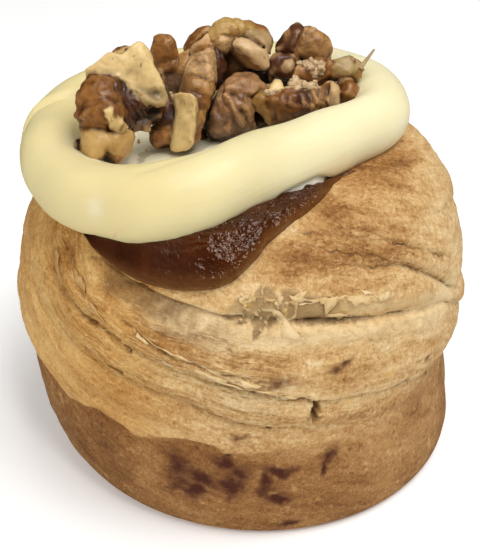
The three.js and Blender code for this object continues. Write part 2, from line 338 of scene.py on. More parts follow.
# Folds: strips of dough that wind round the crown. Each seam that shows is given by angle and height
FOLDS = 9
FOLD_RISE = 10
FOLD_START = 0.1
FOLD_DEPTH = 1.8
FOLD_VARIES = 0.3
FOLD_TURN = 2.4
FOLD_SKEW = 0.6
FOLD_FULLNESS = 0.7
TORN_SEAM = 3
SEAMS = {
    1: [(-150, 43.5), (-128, 39.2), (-117, 37), (-104, 35.3), (-93, 31.6), (-84, 29.4), (-66, 26.5)],
    2: [
        (-158, 55), (-150, 52.4), (-141, 48.8), (-127, 46), (-117, 43.3), (-104, 41.2), (-90, 38),
        (-73, 34.3),
    ],
    TORN_SEAM: [
        (-131, 56.6), (-117, 55), (-102, 53.2), (-90, 51.2), (-81, 49.7), (-66, 48), (-52, 45.7),
        (-32, 41),
    ],
    4: [
        (-89, 57.9), (-64, 56.6), (-58, 55.4), (-52, 54.2), (-47, 53), (-43, 51.6), (-39, 49.6),
        (-35, 47.3), (-31, 45), (-24, 40.5),
    ],
}
SEAM_FADE = 25
NARROWEST_STRIP = 0.25
SEAM_WAVER = 0.05
BACK_SEAM = 90
BACK_BLEND = 35


# A value that wanders along the winding, with a grain in degrees
def wander(angle, grain, seed):
    return noise(np.stack([angle / grain, 0 * angle, 0 * angle], axis=-1), seed)


def plain_strip(angle, height):
    return (height + FOLD_RISE * FOLDS * angle / 360) / FOLD_RISE + FOLD_START


# Place across the strips: a whole number on each seam, and the plain winding where no seam is given
def strip_place(angle, height):
    plain = plain_strip(angle, height) + SEAM_WAVER * wander(angle, 5, 75)
    last = max(SEAMS) + 1
    marks = [np.zeros_like(angle)]
    for seam in SEAMS:
        stops = np.array(SEAMS[seam], float)
        moved = plain_strip(stops[:, 0], stops[:, 1]) - seam
        ends = np.concatenate([[stops[0, 0] - SEAM_FADE], stops[:, 0], [stops[-1, 0] + SEAM_FADE]])
        shift = np.interp(angle, ends, np.concatenate([[0], moved, [0]]))
        marks.append(np.maximum(seam + shift, marks[-1] + NARROWEST_STRIP))
    marks.append(np.maximum(last, marks[-1] + NARROWEST_STRIP))
    place = plain.copy()
    for seam in range(last):
        between = (plain >= marks[seam]) & (plain < marks[seam + 1])
        share = (plain - marks[seam]) / (marks[seam + 1] - marks[seam])
        place = np.where(between, seam + share, place)
    return place


def fold_relief(angle, height, place):
    across = place - np.floor(place)
    strip = np.mod(np.floor(place), FOLDS)
    varied = np.cos(FOLD_TURN * strip + 2 * angle * RADIAN)
    depth = FOLD_DEPTH * (1 - FOLD_VARIES + FOLD_VARIES * varied)
    overlap = np.sin(np.pi * across**FOLD_SKEW) ** FOLD_FULLNESS - 1
    return depth * overlap * window(height, LIP_HEIGHT - 2, LIP_HEIGHT + 5, 53.4, 57.8)


# Thin layers of dough: the grain of their lines across and round the strips with a seed, and how far the
# lines rise and streak
THICK_LAYERS = (7, 3.2, 11)
THIN_LAYERS = (17, 5, 21)
THICK_RELIEF = 0.28
THIN_RELIEF = 0.22
THICK_STREAK = 0.6
THIN_STREAK = 0.4
UPPER_RIGHT_LAYERED = 0.9
UPPER_RIGHT_SMOOTHED = 0.4


# A pattern on the strips that meets itself where the winding closes at the back
def on_strips(angle, place, pattern):
    wrapped = smoothstep(angle, BACK_SEAM - BACK_BLEND, BACK_SEAM)
    return lerp(pattern(angle, place), pattern(angle, place - FOLDS), wrapped)


def strip_points(angle, place, round_grain, across_grain):
    turn = angle * RADIAN
    return np.stack([np.cos(turn) * round_grain, np.sin(turn) * round_grain, place * across_grain], axis=-1)


def layer_lines(angle, place, across_grain, round_grain, seed):
    def pattern(turned, strip):
        bent = strip + 0.05 * noise(strip_points(turned, strip, 5, 3), seed + 40)
        return crests(strip_points(turned, bent, round_grain, across_grain), seed)

    return on_strips(angle, place, pattern)


# The layers' relief, their streaks of colour, and how far a place is layered
def layer_fields(angle, height, place):
    on_crown = window(height, LIP_HEIGHT - 1, LIP_HEIGHT + 5, 60.2, 61.2)
    layered = window(angle, -165, -146, -92, -66) * window(place, 0.7, 1.1, 2.6, 3.0)
    upper_right = window(angle, -78, -66, -36, -22) * window(height, 47, 51, 60, 61)
    layered = np.maximum(layered, UPPER_RIGHT_LAYERED * upper_right)
    thick = layer_lines(angle, place, *THICK_LAYERS)
    thin = layer_lines(angle, place, *THIN_LAYERS)
    relief = on_crown * np.maximum(layered, 0.35) * (THICK_RELIEF * thick + THIN_RELIEF * thin)
    streaks = on_crown * (THICK_STREAK * thick + THIN_STREAK * thin)
    streaked = np.maximum(layered - UPPER_RIGHT_SMOOTHED * upper_right, 0.3) * on_crown
    return relief, streaks, streaked


# Cracks between layers: the angle and height of each stop, then depth, half width and darkness
# The darkness is painted partly as shade in the crack and partly as its browned edges
CRACKS = [
    ([(-153, 54.6), (-151, 53.4), (-148, 51.8), (-144, 49), (-141, 48.3), (-137, 47.6)], 1.3, 1.3, 0.2),
    ([(-146, 56.4), (-143, 55), (-139, 53.8), (-135, 52.4), (-133, 51)], 1.3, 1.4, 0.2),
    ([(-135, 51.4), (-131, 50.2), (-127, 49)], 1.0, 0.9, 0.4),
    ([(-133, 57.6), (-130.5, 55.6), (-128, 53.4)], 0.8, 0.8, 0.3),
    (
        [(-141, 48.6), (-130.5, 46.4), (-125.7, 45.4), (-119, 44.2), (-104, 41.2), (-90, 38), (-73, 34.3)],
        0.75, 0.42, 0.75,
    ),
    ([(-119, 49), (-114.5, 47.2), (-111, 46), (-104, 43.8)], 0.6, 0.4, 0.7),
    ([(-128, 39.2), (-117, 37), (-104, 35.3), (-93, 31.6), (-88, 30.3)], 0.6, 0.5, 0.4),
    ([(-112, 45.2), (-102, 43.6), (-92, 41.2), (-84, 39.6)], 0.6, 0.42, 0.8),
    (
        [
            (-64, 56.6), (-58, 55.4), (-52, 54.2), (-47, 53), (-43, 51.6), (-39, 49.6), (-31, 45),
            (-24, 40.5),
        ],
        0.6, 0.4, 0.5,
    ),
    ([(-72, 60.8), (-62, 60), (-52.8, 58.5), (-43.5, 55.5), (-35, 51.6), (-28, 47.8)], 0.7, 0.5, 0.9),
    ([(-60, 60.2), (-52, 59.2), (-47, 57.1), (-38, 53.2), (-28, 48.6)], 0.6, 0.5, 0.8),
    ([(-70, 59.4), (-64.8, 58.5), (-54.5, 56.3), (-47, 53.9), (-40, 50.8)], 0.6, 0.5, 0.8),
]
CRACK_WANDER = 0.42
CRACK_FAR = 6
CRACK_REACH = 9.0
GAP_LIMIT = 3


# The nearest crack: how far above or below it a place is, how strong it is there, and the relief of all
def crack_fields(angle, length):
    best = np.full_like(angle, CRACK_REACH)
    gap = np.full_like(angle, CRACK_REACH)
    share = np.zeros_like(angle)
    relief = np.zeros_like(angle)
    for number, (stops, depth, half_width, dark) in enumerate(CRACKS):
        first, last = stops[0][0], stops[-1][0]
        middle = length_at(line_at(stops, angle))
        offset = length - middle - CRACK_WANDER * wander(angle, 1.7, 100 + 3 * number)
        fade = min(3, 0.3 * (last - first))
        ends = window(angle, first - fade, first + fade, last - fade, last + fade)
        patchy = np.clip(0.7 + 0.8 * wander(angle, 4, 101 + 3 * number), 0.25, 1)
        relief -= depth * hump(offset, 0, half_width) * ends * patchy
        distance = np.abs(offset) + CRACK_FAR * (1 - ends)
        nearer = distance < best
        best = np.where(nearer, distance, best)
        gap = np.where(nearer, offset, gap)
        share = np.where(nearer, dark * ends * patchy, share)
    return np.clip(gap, -GAP_LIMIT, GAP_LIMIT), share, relief


DEGREE_LENGTH = CROWN_RADIUS * RADIAN

# Open gaps between two layers: where each starts and ends, by angle and height, and half its thickness
# The gaps are sunk and painted dark as shade
GAPS = [
    ((-131, 46.5), (-127, 45.6), 0.35), ((-123, 45.8), (-119, 44.2), 0.42),
    ((-118.4, 43.7), (-116, 42.4), 0.32), ((-95.4, 38.9), (-89, 37.8), 0.26),
    ((-88, 38.4), (-81, 35.8), 0.34), ((-80, 35.6), (-73.4, 34.2), 0.28),
    ((-121.5, 39.3), (-117.5, 38.2), 0.24),
]
GAP_DEPTH = 1.0
GAP_WANDER = 0.2


# How far inside any of the open gaps a place is
def gap_share(angle, length):
    total = np.zeros_like(angle)
    for (start_angle, start_height), (end_angle, end_height), half in GAPS:
        start, end = length_at(start_height), length_at(end_height)
        way = np.array([(end_angle - start_angle) * DEGREE_LENGTH, end - start])
        reach = np.hypot(*way)
        way = way / reach
        across = (angle - start_angle) * DEGREE_LENGTH
        up = length - start
        along = np.clip((across * way[0] + up * way[1]) / reach, 0, 1)
        off = up * way[0] - across * way[1] - GAP_WANDER * wander(angle, 1.6, 78)
        thick = half * np.sin(np.pi * along) ** 0.6 + 1e-3
        inside = 1 - smoothstep(np.abs(off) / thick, 0.6, 1.3)
        total = np.maximum(total, inside * (along > 0) * (along < 1))
    return total


# The torn seam: a crevice along its line, and above it a band of bare dough. The band's height and how far
# the crevice shows are given by angle
SPLIT_BEFORE = [(-270, 48), (-170, 51)]
SPLIT_AFTER = [(10, 46), (90, 48)]
TORN_BAND = [(-96, 0), (-90, 2.8), (-85, 4.6), (-70, 5), (-56, 4.8), (-46, 4.6), (-34, 4), (-26, 0)]
CLOSED = [
    (-137, 0), (-131, 0.75), (-98, 0.75), (-92, 0.25), (-80, 0.2), (-76, 1), (-66, 1), (-56, 0.5),
    (-38, 0.3), (-25, 0),
]
TORN_DEPTH = 0.6
TORN_LIMIT = 3
OPEN_MARGIN = 2
NARROW_MARGIN = 1.4
BAND_SLOPE = 0.8
CREVICE_DEPTH = 1.7
SHUT_DEPTH = 0.6
# painted shade in the crevice where it is shut
SHUT_DARK = 0.95
LOWER_LIP = 0.25
LOWER_LIP_MIDDLE = -1.6
LOWER_LIP_HALF = 1.6
ABOVE_LIMIT = 4


# Height of the torn seam's line, carried on round the back so that the rows of the mesh can follow it
def split_line(angle):
    return line_at(SPLIT_BEFORE + SEAMS[TORN_SEAM] + SPLIT_AFTER, angle)


# The torn band: how far inside it a place is, its crevice, the relief there and how far above the crevice
def torn_seam(angle, length):
    above = length - length_at(split_line(angle))
    band = line_at(TORN_BAND, angle)
    ragged = 0.7 * wander(angle, 5, 81) + 0.45 * wander(angle, 2.2, 82)
    upper = band + ragged * np.clip(band / 3, 0, 1)
    open_share = window(angle, -100, -88, -40, -26)
    closed_share = line_at(CLOSED, angle)
    inside = np.minimum(above, upper - above) - OPEN_MARGIN * (1 - open_share)
    inside = inside - NARROW_MARGIN * smoothstep(angle, -68, -58)
    slope = np.clip(above / np.maximum(band, 0.5), 0, 1)
    below_edge = smoothstep(above, -0.1, 0.3)
    ledge = below_edge * (1 - smoothstep(above, upper - 0.7, upper + 0.2))
    ledge = ledge * window(angle, -93, -89, -67, -60)
    relief = -TORN_DEPTH * ledge * (1 - 0.4 * slope)
    relief -= BAND_SLOPE * below_edge * (1 - slope) ** 1.5 * open_share
    relief -= hump(above, 0.05, 0.36) * closed_share * lerp(SHUT_DEPTH, CREVICE_DEPTH, open_share)
    relief += LOWER_LIP * hump(above, LOWER_LIP_MIDDLE, LOWER_LIP_HALF) * open_share
    return inside, closed_share, relief, above


# Hollows of the torn web: angle, height, half width, half height, depth and darkness of the painted shade in
# it
WEB_HOLLOWS = [
    (-78.8, 54, 2, 1.2, 0.6, 0.4), (-83.2, 54.6, 1.4, 1, 0.5, 0.3), (-87, 53.8, 1.7, 1.3, 0.5, 0.2),
    (-83.3, 52.6, 1.5, 1.2, 0.5, 0.15), (-83.8, 51.2, 1.3, 1.1, 0.6, 0.2), (-85.9, 50.5, 1, 1.1, 0.7, 0.55),
    (-82.6, 50, 1.5, 0.8, 0.7, 0.6), (-88.9, 50.5, 0.7, 0.5, 0.4, 0.6), (-86.2, 49, 0.5, 0.5, 0.4, 0.6),
    (-77.7, 51.6, 1.2, 1.5, 0.6, 0.35), (-88.2, 52, 1.5, 1.1, 0.5, 0.2), (-90.8, 52.9, 1.6, 1.2, 0.4, 0.15),
    (-80.4, 53.2, 1.1, 1.4, 0.5, 0.2), (-92, 51.6, 1.5, 0.8, 0.45, 0.4), (-72.4, 51.4, 4, 2.5, 0.6, 0.3),
    (-89.6, 54.3, 1.3, 0.9, 0.4, 0.2), (-85.4, 55.2, 1.2, 0.8, 0.35, 0.2), (-80.4, 50.6, 1.2, 1.1, 0.6, 0.3),
]
WEB_STRAY = 0.9
WEB_GRAIN = 2.1
STRAND_RELIEF = 0.15


# The torn web: its relief, how far a place lies in a hollow or on a strand, and how dark its painted shade is
# there
def web_fields(angle, length, bare):
    across = angle * DEGREE_LENGTH + WEB_STRAY * noise(bare / WEB_GRAIN, 96)
    up = length + WEB_STRAY * noise(bare / WEB_GRAIN, 97)
    hollows = np.array(WEB_HOLLOWS)
    away = []
    for middle, height, half_width, half_height, _, _ in WEB_HOLLOWS:
        sideways = (across - middle * DEGREE_LENGTH) / half_width
        upward = (up - length_at(height)) / half_height
        away.append(np.hypot(sideways, upward))
    away = np.stack(away)
    first, second = np.sort(away, axis=0)[:2]
    depth, darkness = hollows[np.argmin(away, axis=0), -2:].T
    near = 1 - smoothstep(first, 0.9, 1.3)
    strand = 1 - smoothstep(second - first, 0.06, 0.4)
    hollow = near * (1 - strand)
    relief = STRAND_RELIEF * near * strand - depth * hollow
    return relief, hollow, near * strand, darkness * hollow


# The lower edge of the crown, that hangs over the wall, by angle and height
LIP_LINE = [
    (-270, 24.5), (-190, 26), (-149, 27.5), (-144, 25), (-138, 24.1), (-132, 24.6), (-126, 26.3),
    (-121, 24.6), (-115, 22.9), (-107, 24.4), (-103, 25.6), (-96, 24.4), (-94, 22.8), (-82, 22.6),
    (-70, 22.2), (-55, 23), (-47, 24.5), (-38, 25.6), (-26, 24), (0, 25), (90, 24.5),
]
LIP_OVERHANG = 1.1
LIP_WEAK = 0.35
WALL_SOFTER = 3.5
STEP_RIGHT = 0.8


def lip_line(angle):
    return line_at(LIP_LINE, angle)


# The crown's edge: its relief, and how far a place belongs to the wall below it
def lip_fields(bare, angle, height):
    gap = height - lip_line(angle) + 0.4 * noise(bare / 3.1, 91)
    strong = lerp(LIP_WEAK, 1, window(angle, -160, -148, -100, -88))
    relief = LIP_OVERHANG * strong * (smoothstep(gap, -0.6, 0.5) - 0.5) * window(gap, -9, -0.6, 0.6, 7)
    softness = lerp(1, WALL_SOFTER, window(angle, -92, -66, 30, 60))
    return relief, 1 - smoothstep(gap / softness, -1.6, 1.2)


# Caramel spots: angle, height, half width, half height, strength
SPOTS = [
    (-103, 12.2, 2.6, 1.9, 1.0), (-98.5, 15.6, 2.4, 2.0, 0.9), (-94, 19.8, 1.9, 2.1, 0.95),
    (-92.5, 14.6, 2.4, 2.4, 0.8), (-105, 16.8, 2.6, 3.0, 0.55), (-89.5, 17.6, 1.6, 1.6, 0.7),
    (-93, 22.9, 0.7, 0.5, 0.9), (-83.4, 14.8, 1.3, 3.3, 1.0), (-80, 17.6, 2.5, 1.0, 1.0),
    (-81, 11.2, 2.3, 0.9, 1.0), (-68.2, 19.4, 1.2, 1.5, 1.0), (-69, 17.2, 0.6, 1.4, 0.7),
    (-78, 3.2, 1.6, 1.2, 0.9), (-66, 41.1, 1.0, 0.6, 0.9), (-67.6, 40.6, 0.9, 0.4, 0.5),
    (-81, 39.2, 1.9, 0.8, 0.5), (-49, 31.4, 1.0, 0.5, 0.6), (-41, 33.6, 0.6, 0.5, 0.7),
    (-35, 27, 0.6, 0.6, 0.7), (-84, 28.6, 0.4, 0.4, 0.8), (-90, 26.5, 0.9, 0.5, 0.35),
    (20, 12, 3, 2, 0.8), (34, 17, 2, 2.6, 0.7), (70, 9, 3.4, 1.8, 0.8), (-215, 14, 2.6, 2, 0.7),
    (-244, 18, 2.2, 1.6, 0.8), (-182, 9, 2.2, 1.6, 0.6), (-6, 20, 1.2, 1.4, 0.6),
]
# Buttery spots, in the same order
BUTTER = [
    (-64.5, 31.7, 1.1, 0.9, 1), (-54, 35.3, 1.2, 1.0, 1), (-79, 51.6, 0.8, 1.0, 1), (-88, 53.6, 1.3, 0.8, 1),
    (-30, 38, 1.0, 0.8, 1),
]
SPOT_OUTSIDE = -2.5
SPOT_DEPTH = 0.15


# How far inside any of some spots a place is: 1 in a spot's middle, 0 on its rim and below 0 outside
def spot_field(points, angle, height, spots):
    total = np.full_like(angle, SPOT_OUTSIDE)
    ragged = lerp(1, 0.35, smoothstep(height, 28, 32))
    moved = angle + ragged * (1.7 * noise(points / 2.6, 67) + 0.6 * noise(points / 0.9, 68))
    lifted = height + ragged * (1.2 * noise(points / 2.6, 69) + 0.5 * noise(points / 0.9, 70))
    for spot_angle, spot_height, half_width, half_height, strength in spots:
        across = half_turn(moved - spot_angle) * DEGREE_LENGTH / half_width
        away = np.hypot(across, (lifted - spot_height) / half_height)
        total = np.maximum(total, strength * (1 - away))
    return np.clip(total, SPOT_OUTSIDE, 1)


# Where the crust is browner, or paler: angle, height, half width in degrees, half height, amount
# Mostly baked tone, but some rows are painted shade and light, such as the shadow under the icing's right
# edge
BAKE_AND_SHADE = [
    (-45, 57.6, 16, 2.6, 0.1), (-52, 54, 15, 2.6, 0.12), (-60, 53.2, 16, 1.6, 0.1),
    (-59, 60.8, 10, 1.4, 0.24), (-64, 57.4, 14, 1.7, 0.22), (-113, 33.4, 15, 4.4, 0.2),
    (-141, 52, 8, 4.5, 0.14), (-128, 12, 26, 10, 0.06), (-52, 56, 13, 1.5, 0.2), (-73, 59, 12, 1.6, 0.34),
    (-29, 57.6, 14, 2.5, 0.04), (-104, 46.6, 9, 3.1, 0.25), (-88, 44, 13, 2.3, 0.25),
    (-60, 38.8, 12, 2, 0.22), (-128, 43.6, 7, 3, 0.08), (-66, 41.1, 4, 1.6, 0.2), (-76, 30.9, 7, 2.2, 0.1),
    (-147, 51.8, 3, 3.2, 0.25), (-140, 55.5, 3, 1.7, 0.25), (-113, 52.8, 7, 1.8, 0.1),
    (-102, 51.4, 11, 2, -0.15), (-79, 46.8, 20, 1.5, -0.16), (-44, 40.7, 12, 2.8, -0.2),
    (-54, 27, 16, 3, 0.22), (-84, 36.3, 11, 2.2, -0.18), (-110, 34, 13, 3.5, -0.06),
    (-35, 42.9, 7, 2, -0.3), (10, 48, 16, 6, 0.2), (-44, 13, 24, 9, -0.24), (-121.5, 53.6, 4, 1.8, 0.15),
    (-106, 47.4, 9, 2, 0.15), (-148, 56, 4, 2, 0.15), (-28, 41.4, 6, 2.2, -0.42), (-18, 61, 14, 1.3, 0.55),
    (-64, 27.4, 8, 2, 0.2), (-72, 57, 9, 1.6, 0.1), (-117, 53, 8, 2.4, 0.16), (-125, 55.2, 5, 2, 0.2),
    (-110, 53.4, 6, 1.4, 0.1), (-36, 55.4, 7, 2, -0.12), (-50, 60.6, 12, 1.2, 0.2), (-62, 9, 9, 5, 0.12),
    (60, 40, 20, 5, 0.2), (-225, 46, 20, 6, 0.22), (40, 54, 25, 3, -0.2), (-250, 36, 20, 4, -0.15),
]
BAKE_GRAIN = 4
BAKE_SIDEWAYS = 3
BAKE_UPWARD = 1.2


def bake_and_shade_field(points, angle, height):
    moved = angle + BAKE_SIDEWAYS * noise(points / BAKE_GRAIN, 65)
    lifted = height + BAKE_UPWARD * noise(points / BAKE_GRAIN, 66)
    total = np.zeros_like(angle)
    for bake_angle, bake_height, half_width, half_height, amount in BAKE_AND_SHADE:
        turned = half_turn(moved - bake_angle)
        total += amount * hump(turned, 0, half_width) * hump(lifted, bake_height, half_height)
    return total


# A hole at the end of a seam: angle, height, half width and half height
HOLE = (-72.6, 31.2, 0.95, 2.6)
HOLE_RIM = 0.5
HOLE_DEPTH = 2.6
# painted shade inside the hole
HOLE_DARK = 0.8


# How far inside the hole a place is, and how far on its raised rim
def hole_share(angle, height):
    hole_angle, hole_height, half_width, half_height = HOLE
    across = (angle - hole_angle) * DEGREE_LENGTH / half_width
    up = (height - hole_height) / half_height
    ragged = 0.55 * wander(height, 0.9, 91) + 0.3 * wander(height, 0.35, 92)
    away = np.hypot(across + 0.4 * up**2 + ragged, up)
    rim = hump(away, 1.35, 0.45) * (across < 0.3)
    return 1 - smoothstep(away, 0.55, 1.2), rim


# The crust's lumps and grain
LARGE_LUMP = 0.55
SMALL_LUMP = 0.2
CRUST_GRAIN = 0.08
CRUMBLY_GRAIN = 0.24
CRUMBLY_CREST = 0.22


def lump_relief(bare):
    return LARGE_LUMP * rough(bare / 13, 51) + SMALL_LUMP * rough(bare / 3.4, 55)


def grain_relief(bare, crumbly):
    grain = (CRUST_GRAIN + CRUMBLY_GRAIN * crumbly) * rough(bare / 0.9, 61, 2)
    return grain + CRUMBLY_CREST * crumbly * crests(bare / 2.4, 63)


# The pastry's points, moved out from its axis and then from its surface. Both fade at the floor and under the
# icing, where the top is lowered a little
def raised_points(angle, length, bare, radial, bumps):
    radius, height = section_at(length)
    off_floor = smoothstep(height, 0, EDGE_HEIGHT)
    uncovered = 1 - covered_share(bare)
    points = smooth_points(angle, radius + radial * off_floor * uncovered, height)
    points = points + outward(angle, length) * (bumps * uncovered * off_floor)[:, None]
    points[:, 2] -= TOPPING_CLEARANCE * (1 - uncovered) * (height > TOPPED_HEIGHT)
    points[:, 2] = np.maximum(points[:, 2], 0)
    return points


# The surface of the pastry at an angle and a length along its section, and the values painted there
def pastry_surface(angle, length):
    _, height = section_at(length)
    place = strip_place(angle, height)
    bare = base_points(angle, length)
    folds = fold_relief(angle, height, place)
    lines, streaks, streaked = layer_fields(angle, height, place)
    inside, closed, torn, above = torn_seam(angle, length)
    gap, crack, crack_relief = crack_fields(angle, length)
    lip, wall = lip_fields(bare, angle, height)
    hole, rim = hole_share(angle, height)
    open_gap = gap_share(angle, length)
    webbed, hollow, strand, web_shade = web_fields(angle, length, bare)
    spots = spot_field(bare, angle, height, SPOTS)
    lumps = lump_relief(bare)
    fibrous = window(angle, -128, -121, -95, -86) * window(above, -7, -5, -0.7, -0.1)
    pale_lip = hump(above, LOWER_LIP_MIDDLE, 2.2) * window(angle, -112, -92, -36, -24)
    grain = grain_relief(bare, np.maximum(fibrous, 0.6 * pale_lip))
    step = -STEP_RIGHT * window(angle, -48, -28, 35, 60) * window(height, 10, 21, 27.5, 31)
    bumps = lines + crack_relief + lip + lumps + grain + webbed
    bumps = bumps + HOLE_RIM * rim - HOLE_DEPTH * hole - GAP_DEPTH * open_gap
    bumps = bumps - SPOT_DEPTH * np.clip(spots, 0, 1)
    points = raised_points(angle, length, bare, folds + torn + step, bumps)
    around = np.minimum(angle - (BACK_SEAM - 360), BACK_SEAM - angle)
    values = {
        "wall": wall,
        "torn": np.clip(inside, -TORN_LIMIT, TORN_LIMIT),
        "above": np.clip(above, -ABOVE_LIMIT, ABOVE_LIMIT),
        # painted shade in the crevice, cracks, hole and open gaps, with browned edges along the cracks
        "closed": np.maximum(closed, SHUT_DARK * window(angle, -136, -130, -104, -94)),
        "gap": gap,
        "crack": np.clip(crack + HOLE_DARK * hole, 0, 1),
        "hole": np.maximum(hole, open_gap),
        "web": strand,
        "hollow": hollow,
        "web_shade": web_shade,
        "fibrous": fibrous * smoothstep(angle, -118, -105),
        # painted shade: a greyer, darker patch on the concave pleats just below the crevice on the left
        "dusky_shade": window(angle, -131, -124, -108, -98) * window(above, -4.8, -3.2, -0.3, 0.2),
        "caramel": spots,
        "butter": spot_field(bare, angle, height, BUTTER),
        "golden": window(angle, -215, -180, -122, -92) * window(height, 20, 27, 61, 63),
        "layers": streaks,
        "proud": np.clip(0.5 + folds / (2 * FOLD_DEPTH) + 0.6 * lumps, 0, 1),
        # browning, with painted shade and light in places
        "bake": bake_and_shade_field(bare, angle, height),
        "lower_lip": pale_lip,
        "wound": smoothstep(around, 1, 12),
        "layered": streaked,
        "strip": strip_points(angle, place, CROWN_RADIUS, FOLD_RISE),
    }
    return points, values


# The pastry's mesh: columns and rows lie closer where there is more to show, and rows run along the lip
# and the torn seam
PASTRY_COLUMNS = 484
PASTRY_ROWS = 200
COLUMN_SHARES = [0, 0.14, 0.41, 0.79, 0.87, 1]
COLUMN_ANGLES = [-270, -196, -101, -28, 14, 90]
ROW_SHARES = [0, 0.03, 0.26, 0.63, 0.95, 1]
UNDER_LENGTH = 39
COVERED_LENGTH = 124


def pastry_length(up, angle):
    end = SECTION_LENGTH[-1]
    marks = [0, UNDER_LENGTH, length_at(lip_line(angle)), length_at(split_line(angle)), COVERED_LENGTH, end]
    length = np.full_like(up, end)
    for number in range(len(marks) - 1):
        low, high = ROW_SHARES[number], ROW_SHARES[number + 1]
        share = np.clip((up - low) / (high - low), 0, 1)
        between = (up >= low) & (up < high)
        length = np.where(between, lerp(marks[number], marks[number + 1], share), length)
    return length


def pastry_shape(across, up):
    angle = np.interp(across, COLUMN_SHARES, COLUMN_ANGLES)
    return pastry_surface(angle, pastry_length(up, angle))


# Flakes and torn strands of dough. Each is a strip from a start to an end, both as angle and height, with its
# width, how far it hangs down from that line, how far its middle and its free edge lift off, and its colour
FLAKES = [
    ((-81.6, 51.8), (-76.6, 46.6), 2.0, 0.5, 0.15, 0.1, 0.1),
    ((-70.4, 53), (-66.4, 52.6), 2.6, 0.9, 0.3, 0.5, 0.3),
    ((-64, 52.4), (-58, 51), 1.5, 0.9, 0.2, 0.4, 0.3),
    ((-69, 49.2), (-63.4, 47.4), 1.3, 0.1, 0.2, 0.5, 0.2),
    ((-100, 42.2), (-93, 40.2), 0.9, 0.8, 0.12, 0.25, 0.2),
    ((-97, 40.4), (-89, 38.2), 0.9, 0.2, 0.12, 0.25, 0.1),
    ((-92, 41.2), (-85, 39.4), 0.8, 0.8, 0.12, 0.25, 0.2),
    ((-84, 37.4), (-77, 35.4), 0.9, 0.8, 0.12, 0.3, 0.1),
    ((-80, 36.6), (-74, 34.8), 0.7, 0.8, 0.12, 0.3, 0.2),
    ((-130, 49.8), (-124, 47.6), 0.9, 0.2, 0.15, 0.2, 0.7),
    ((-138, 53.4), (-131, 50.6), 1.3, 0.1, 0.2, 0.2, 0.8),
    ((-148, 54.6), (-140, 50.4), 1.2, 0.4, 0.2, 0.1, 0.9),
]
# Rows of smaller flakes: the line they grow along, how many, their longest and widest, how they hang and lift
FLAKE_ROWS = [
    ([(-92, 54.6), (-84, 54.4), (-70, 53.2), (-56, 51)], 20, 5, 1.1, 0.9, 0.12),
    ([(-128, 46.2), (-112, 42.9), (-100, 40.6), (-84, 37.2), (-75, 35)], 16, 8, 0.4, 0.8, 0.1),
    ([(-118, 48.4), (-106, 45.2), (-92, 41.6)], 7, 7, 0.4, 0.8, 0.1),
]
FLAKE_SEED = 5
FLAKE_THICKNESS = 0.12
FLAKE_STEPS = 7
FLAKE_TIP = 0.2
FLAKE_CLEARANCE = 0.05


# The small flakes of the rows, drawn at random
def drawn_flakes():
    draw = np.random.default_rng(FLAKE_SEED)
    flakes = []
    for stops, count, longest, widest, hang, lift in FLAKE_ROWS:
        for start in draw.uniform(stops[0][0], stops[-1][0], count):
            end = start + longest * draw.uniform(0.35, 1)
            low, high = line_at(stops, [start, end]) + draw.normal(0, 0.45, 2)
            width = widest * draw.uniform(0.4, 1)
            curl = draw.uniform(0, 0.12)
            colour = draw.uniform(0, 0.5)
            flakes.append(((start, low), (end, high), width, hang, curl, lift, colour))
    return flakes


# The flakes' points on the pastry, from shares of the way along and across each and the flakes' numbers
def flake_points(flakes, along, across, rows):
    table = np.array([(*start, *end, *rest) for start, end, *rest in flakes])[rows].T
    start_angle, start_height, end_angle, end_height, widest, hang, curl, lift, _ = table
    ragged = np.stack([along * 4, across, rows * 3.7], axis=-1)
    angle = lerp(start_angle, end_angle, along) + 0.3 * noise(ragged, 701)
    low, high = length_at(start_height), length_at(end_height)
    line = lerp(low, high, along) + 0.25 * noise(ragged, 702)
    way = np.stack([(end_angle - start_angle) * DEGREE_LENGTH, high - low])
    way = way / np.hypot(*way)
    full = np.sin(np.pi * np.clip(along, 0.03, 0.97)) ** 0.7
    width = widest * (FLAKE_TIP + (1 - FLAKE_TIP) * full)
    width = width * (1 + 0.6 * noise(ragged * 1.7, 703)) * (across - hang)
    angle = angle - way[1] * width / DEGREE_LENGTH
    length = line + way[0] * width
    points, _ = pastry_surface(angle, length)
    free = np.where(hang > 0.5, 1 - across, across)
    off = FLAKE_CLEARANCE + curl * np.sin(np.pi * along)
    off = off + lift * free**1.3 * (1 + 0.5 * noise(ragged, 704))
    return points + outward(angle, length) * off[:, None]


def flake_piece():
    sheets = bmesh.new()
    along, across, rows = [], [], []
    flakes = FLAKES + drawn_flakes()
    for number in range(len(flakes)):
        corners = bmesh.ops.create_grid(sheets, x_segments=FLAKE_STEPS, y_segments=2, size=0.5)["verts"]
        along.extend(corner.co.x + 0.5 for corner in corners)
        across.extend(corner.co.y + 0.5 for corner in corners)
        rows.extend([number] * len(corners))
    points = flake_points(flakes, np.array(along), np.array(across), np.array(rows))
    for corner, place in zip(sheets.verts, points * MM):
        corner.co = place
    mesh = new_mesh("pastry_flakes", sheets)
    set_values(mesh, "bake", np.array([flakes[row][-1] for row in rows]))
    body = opened(mesh)
    bmesh.ops.solidify(body, geom=body.faces[:], thickness=FLAKE_THICKNESS * MM)
    return smooth_piece("pastry_flakes", body, mesh)


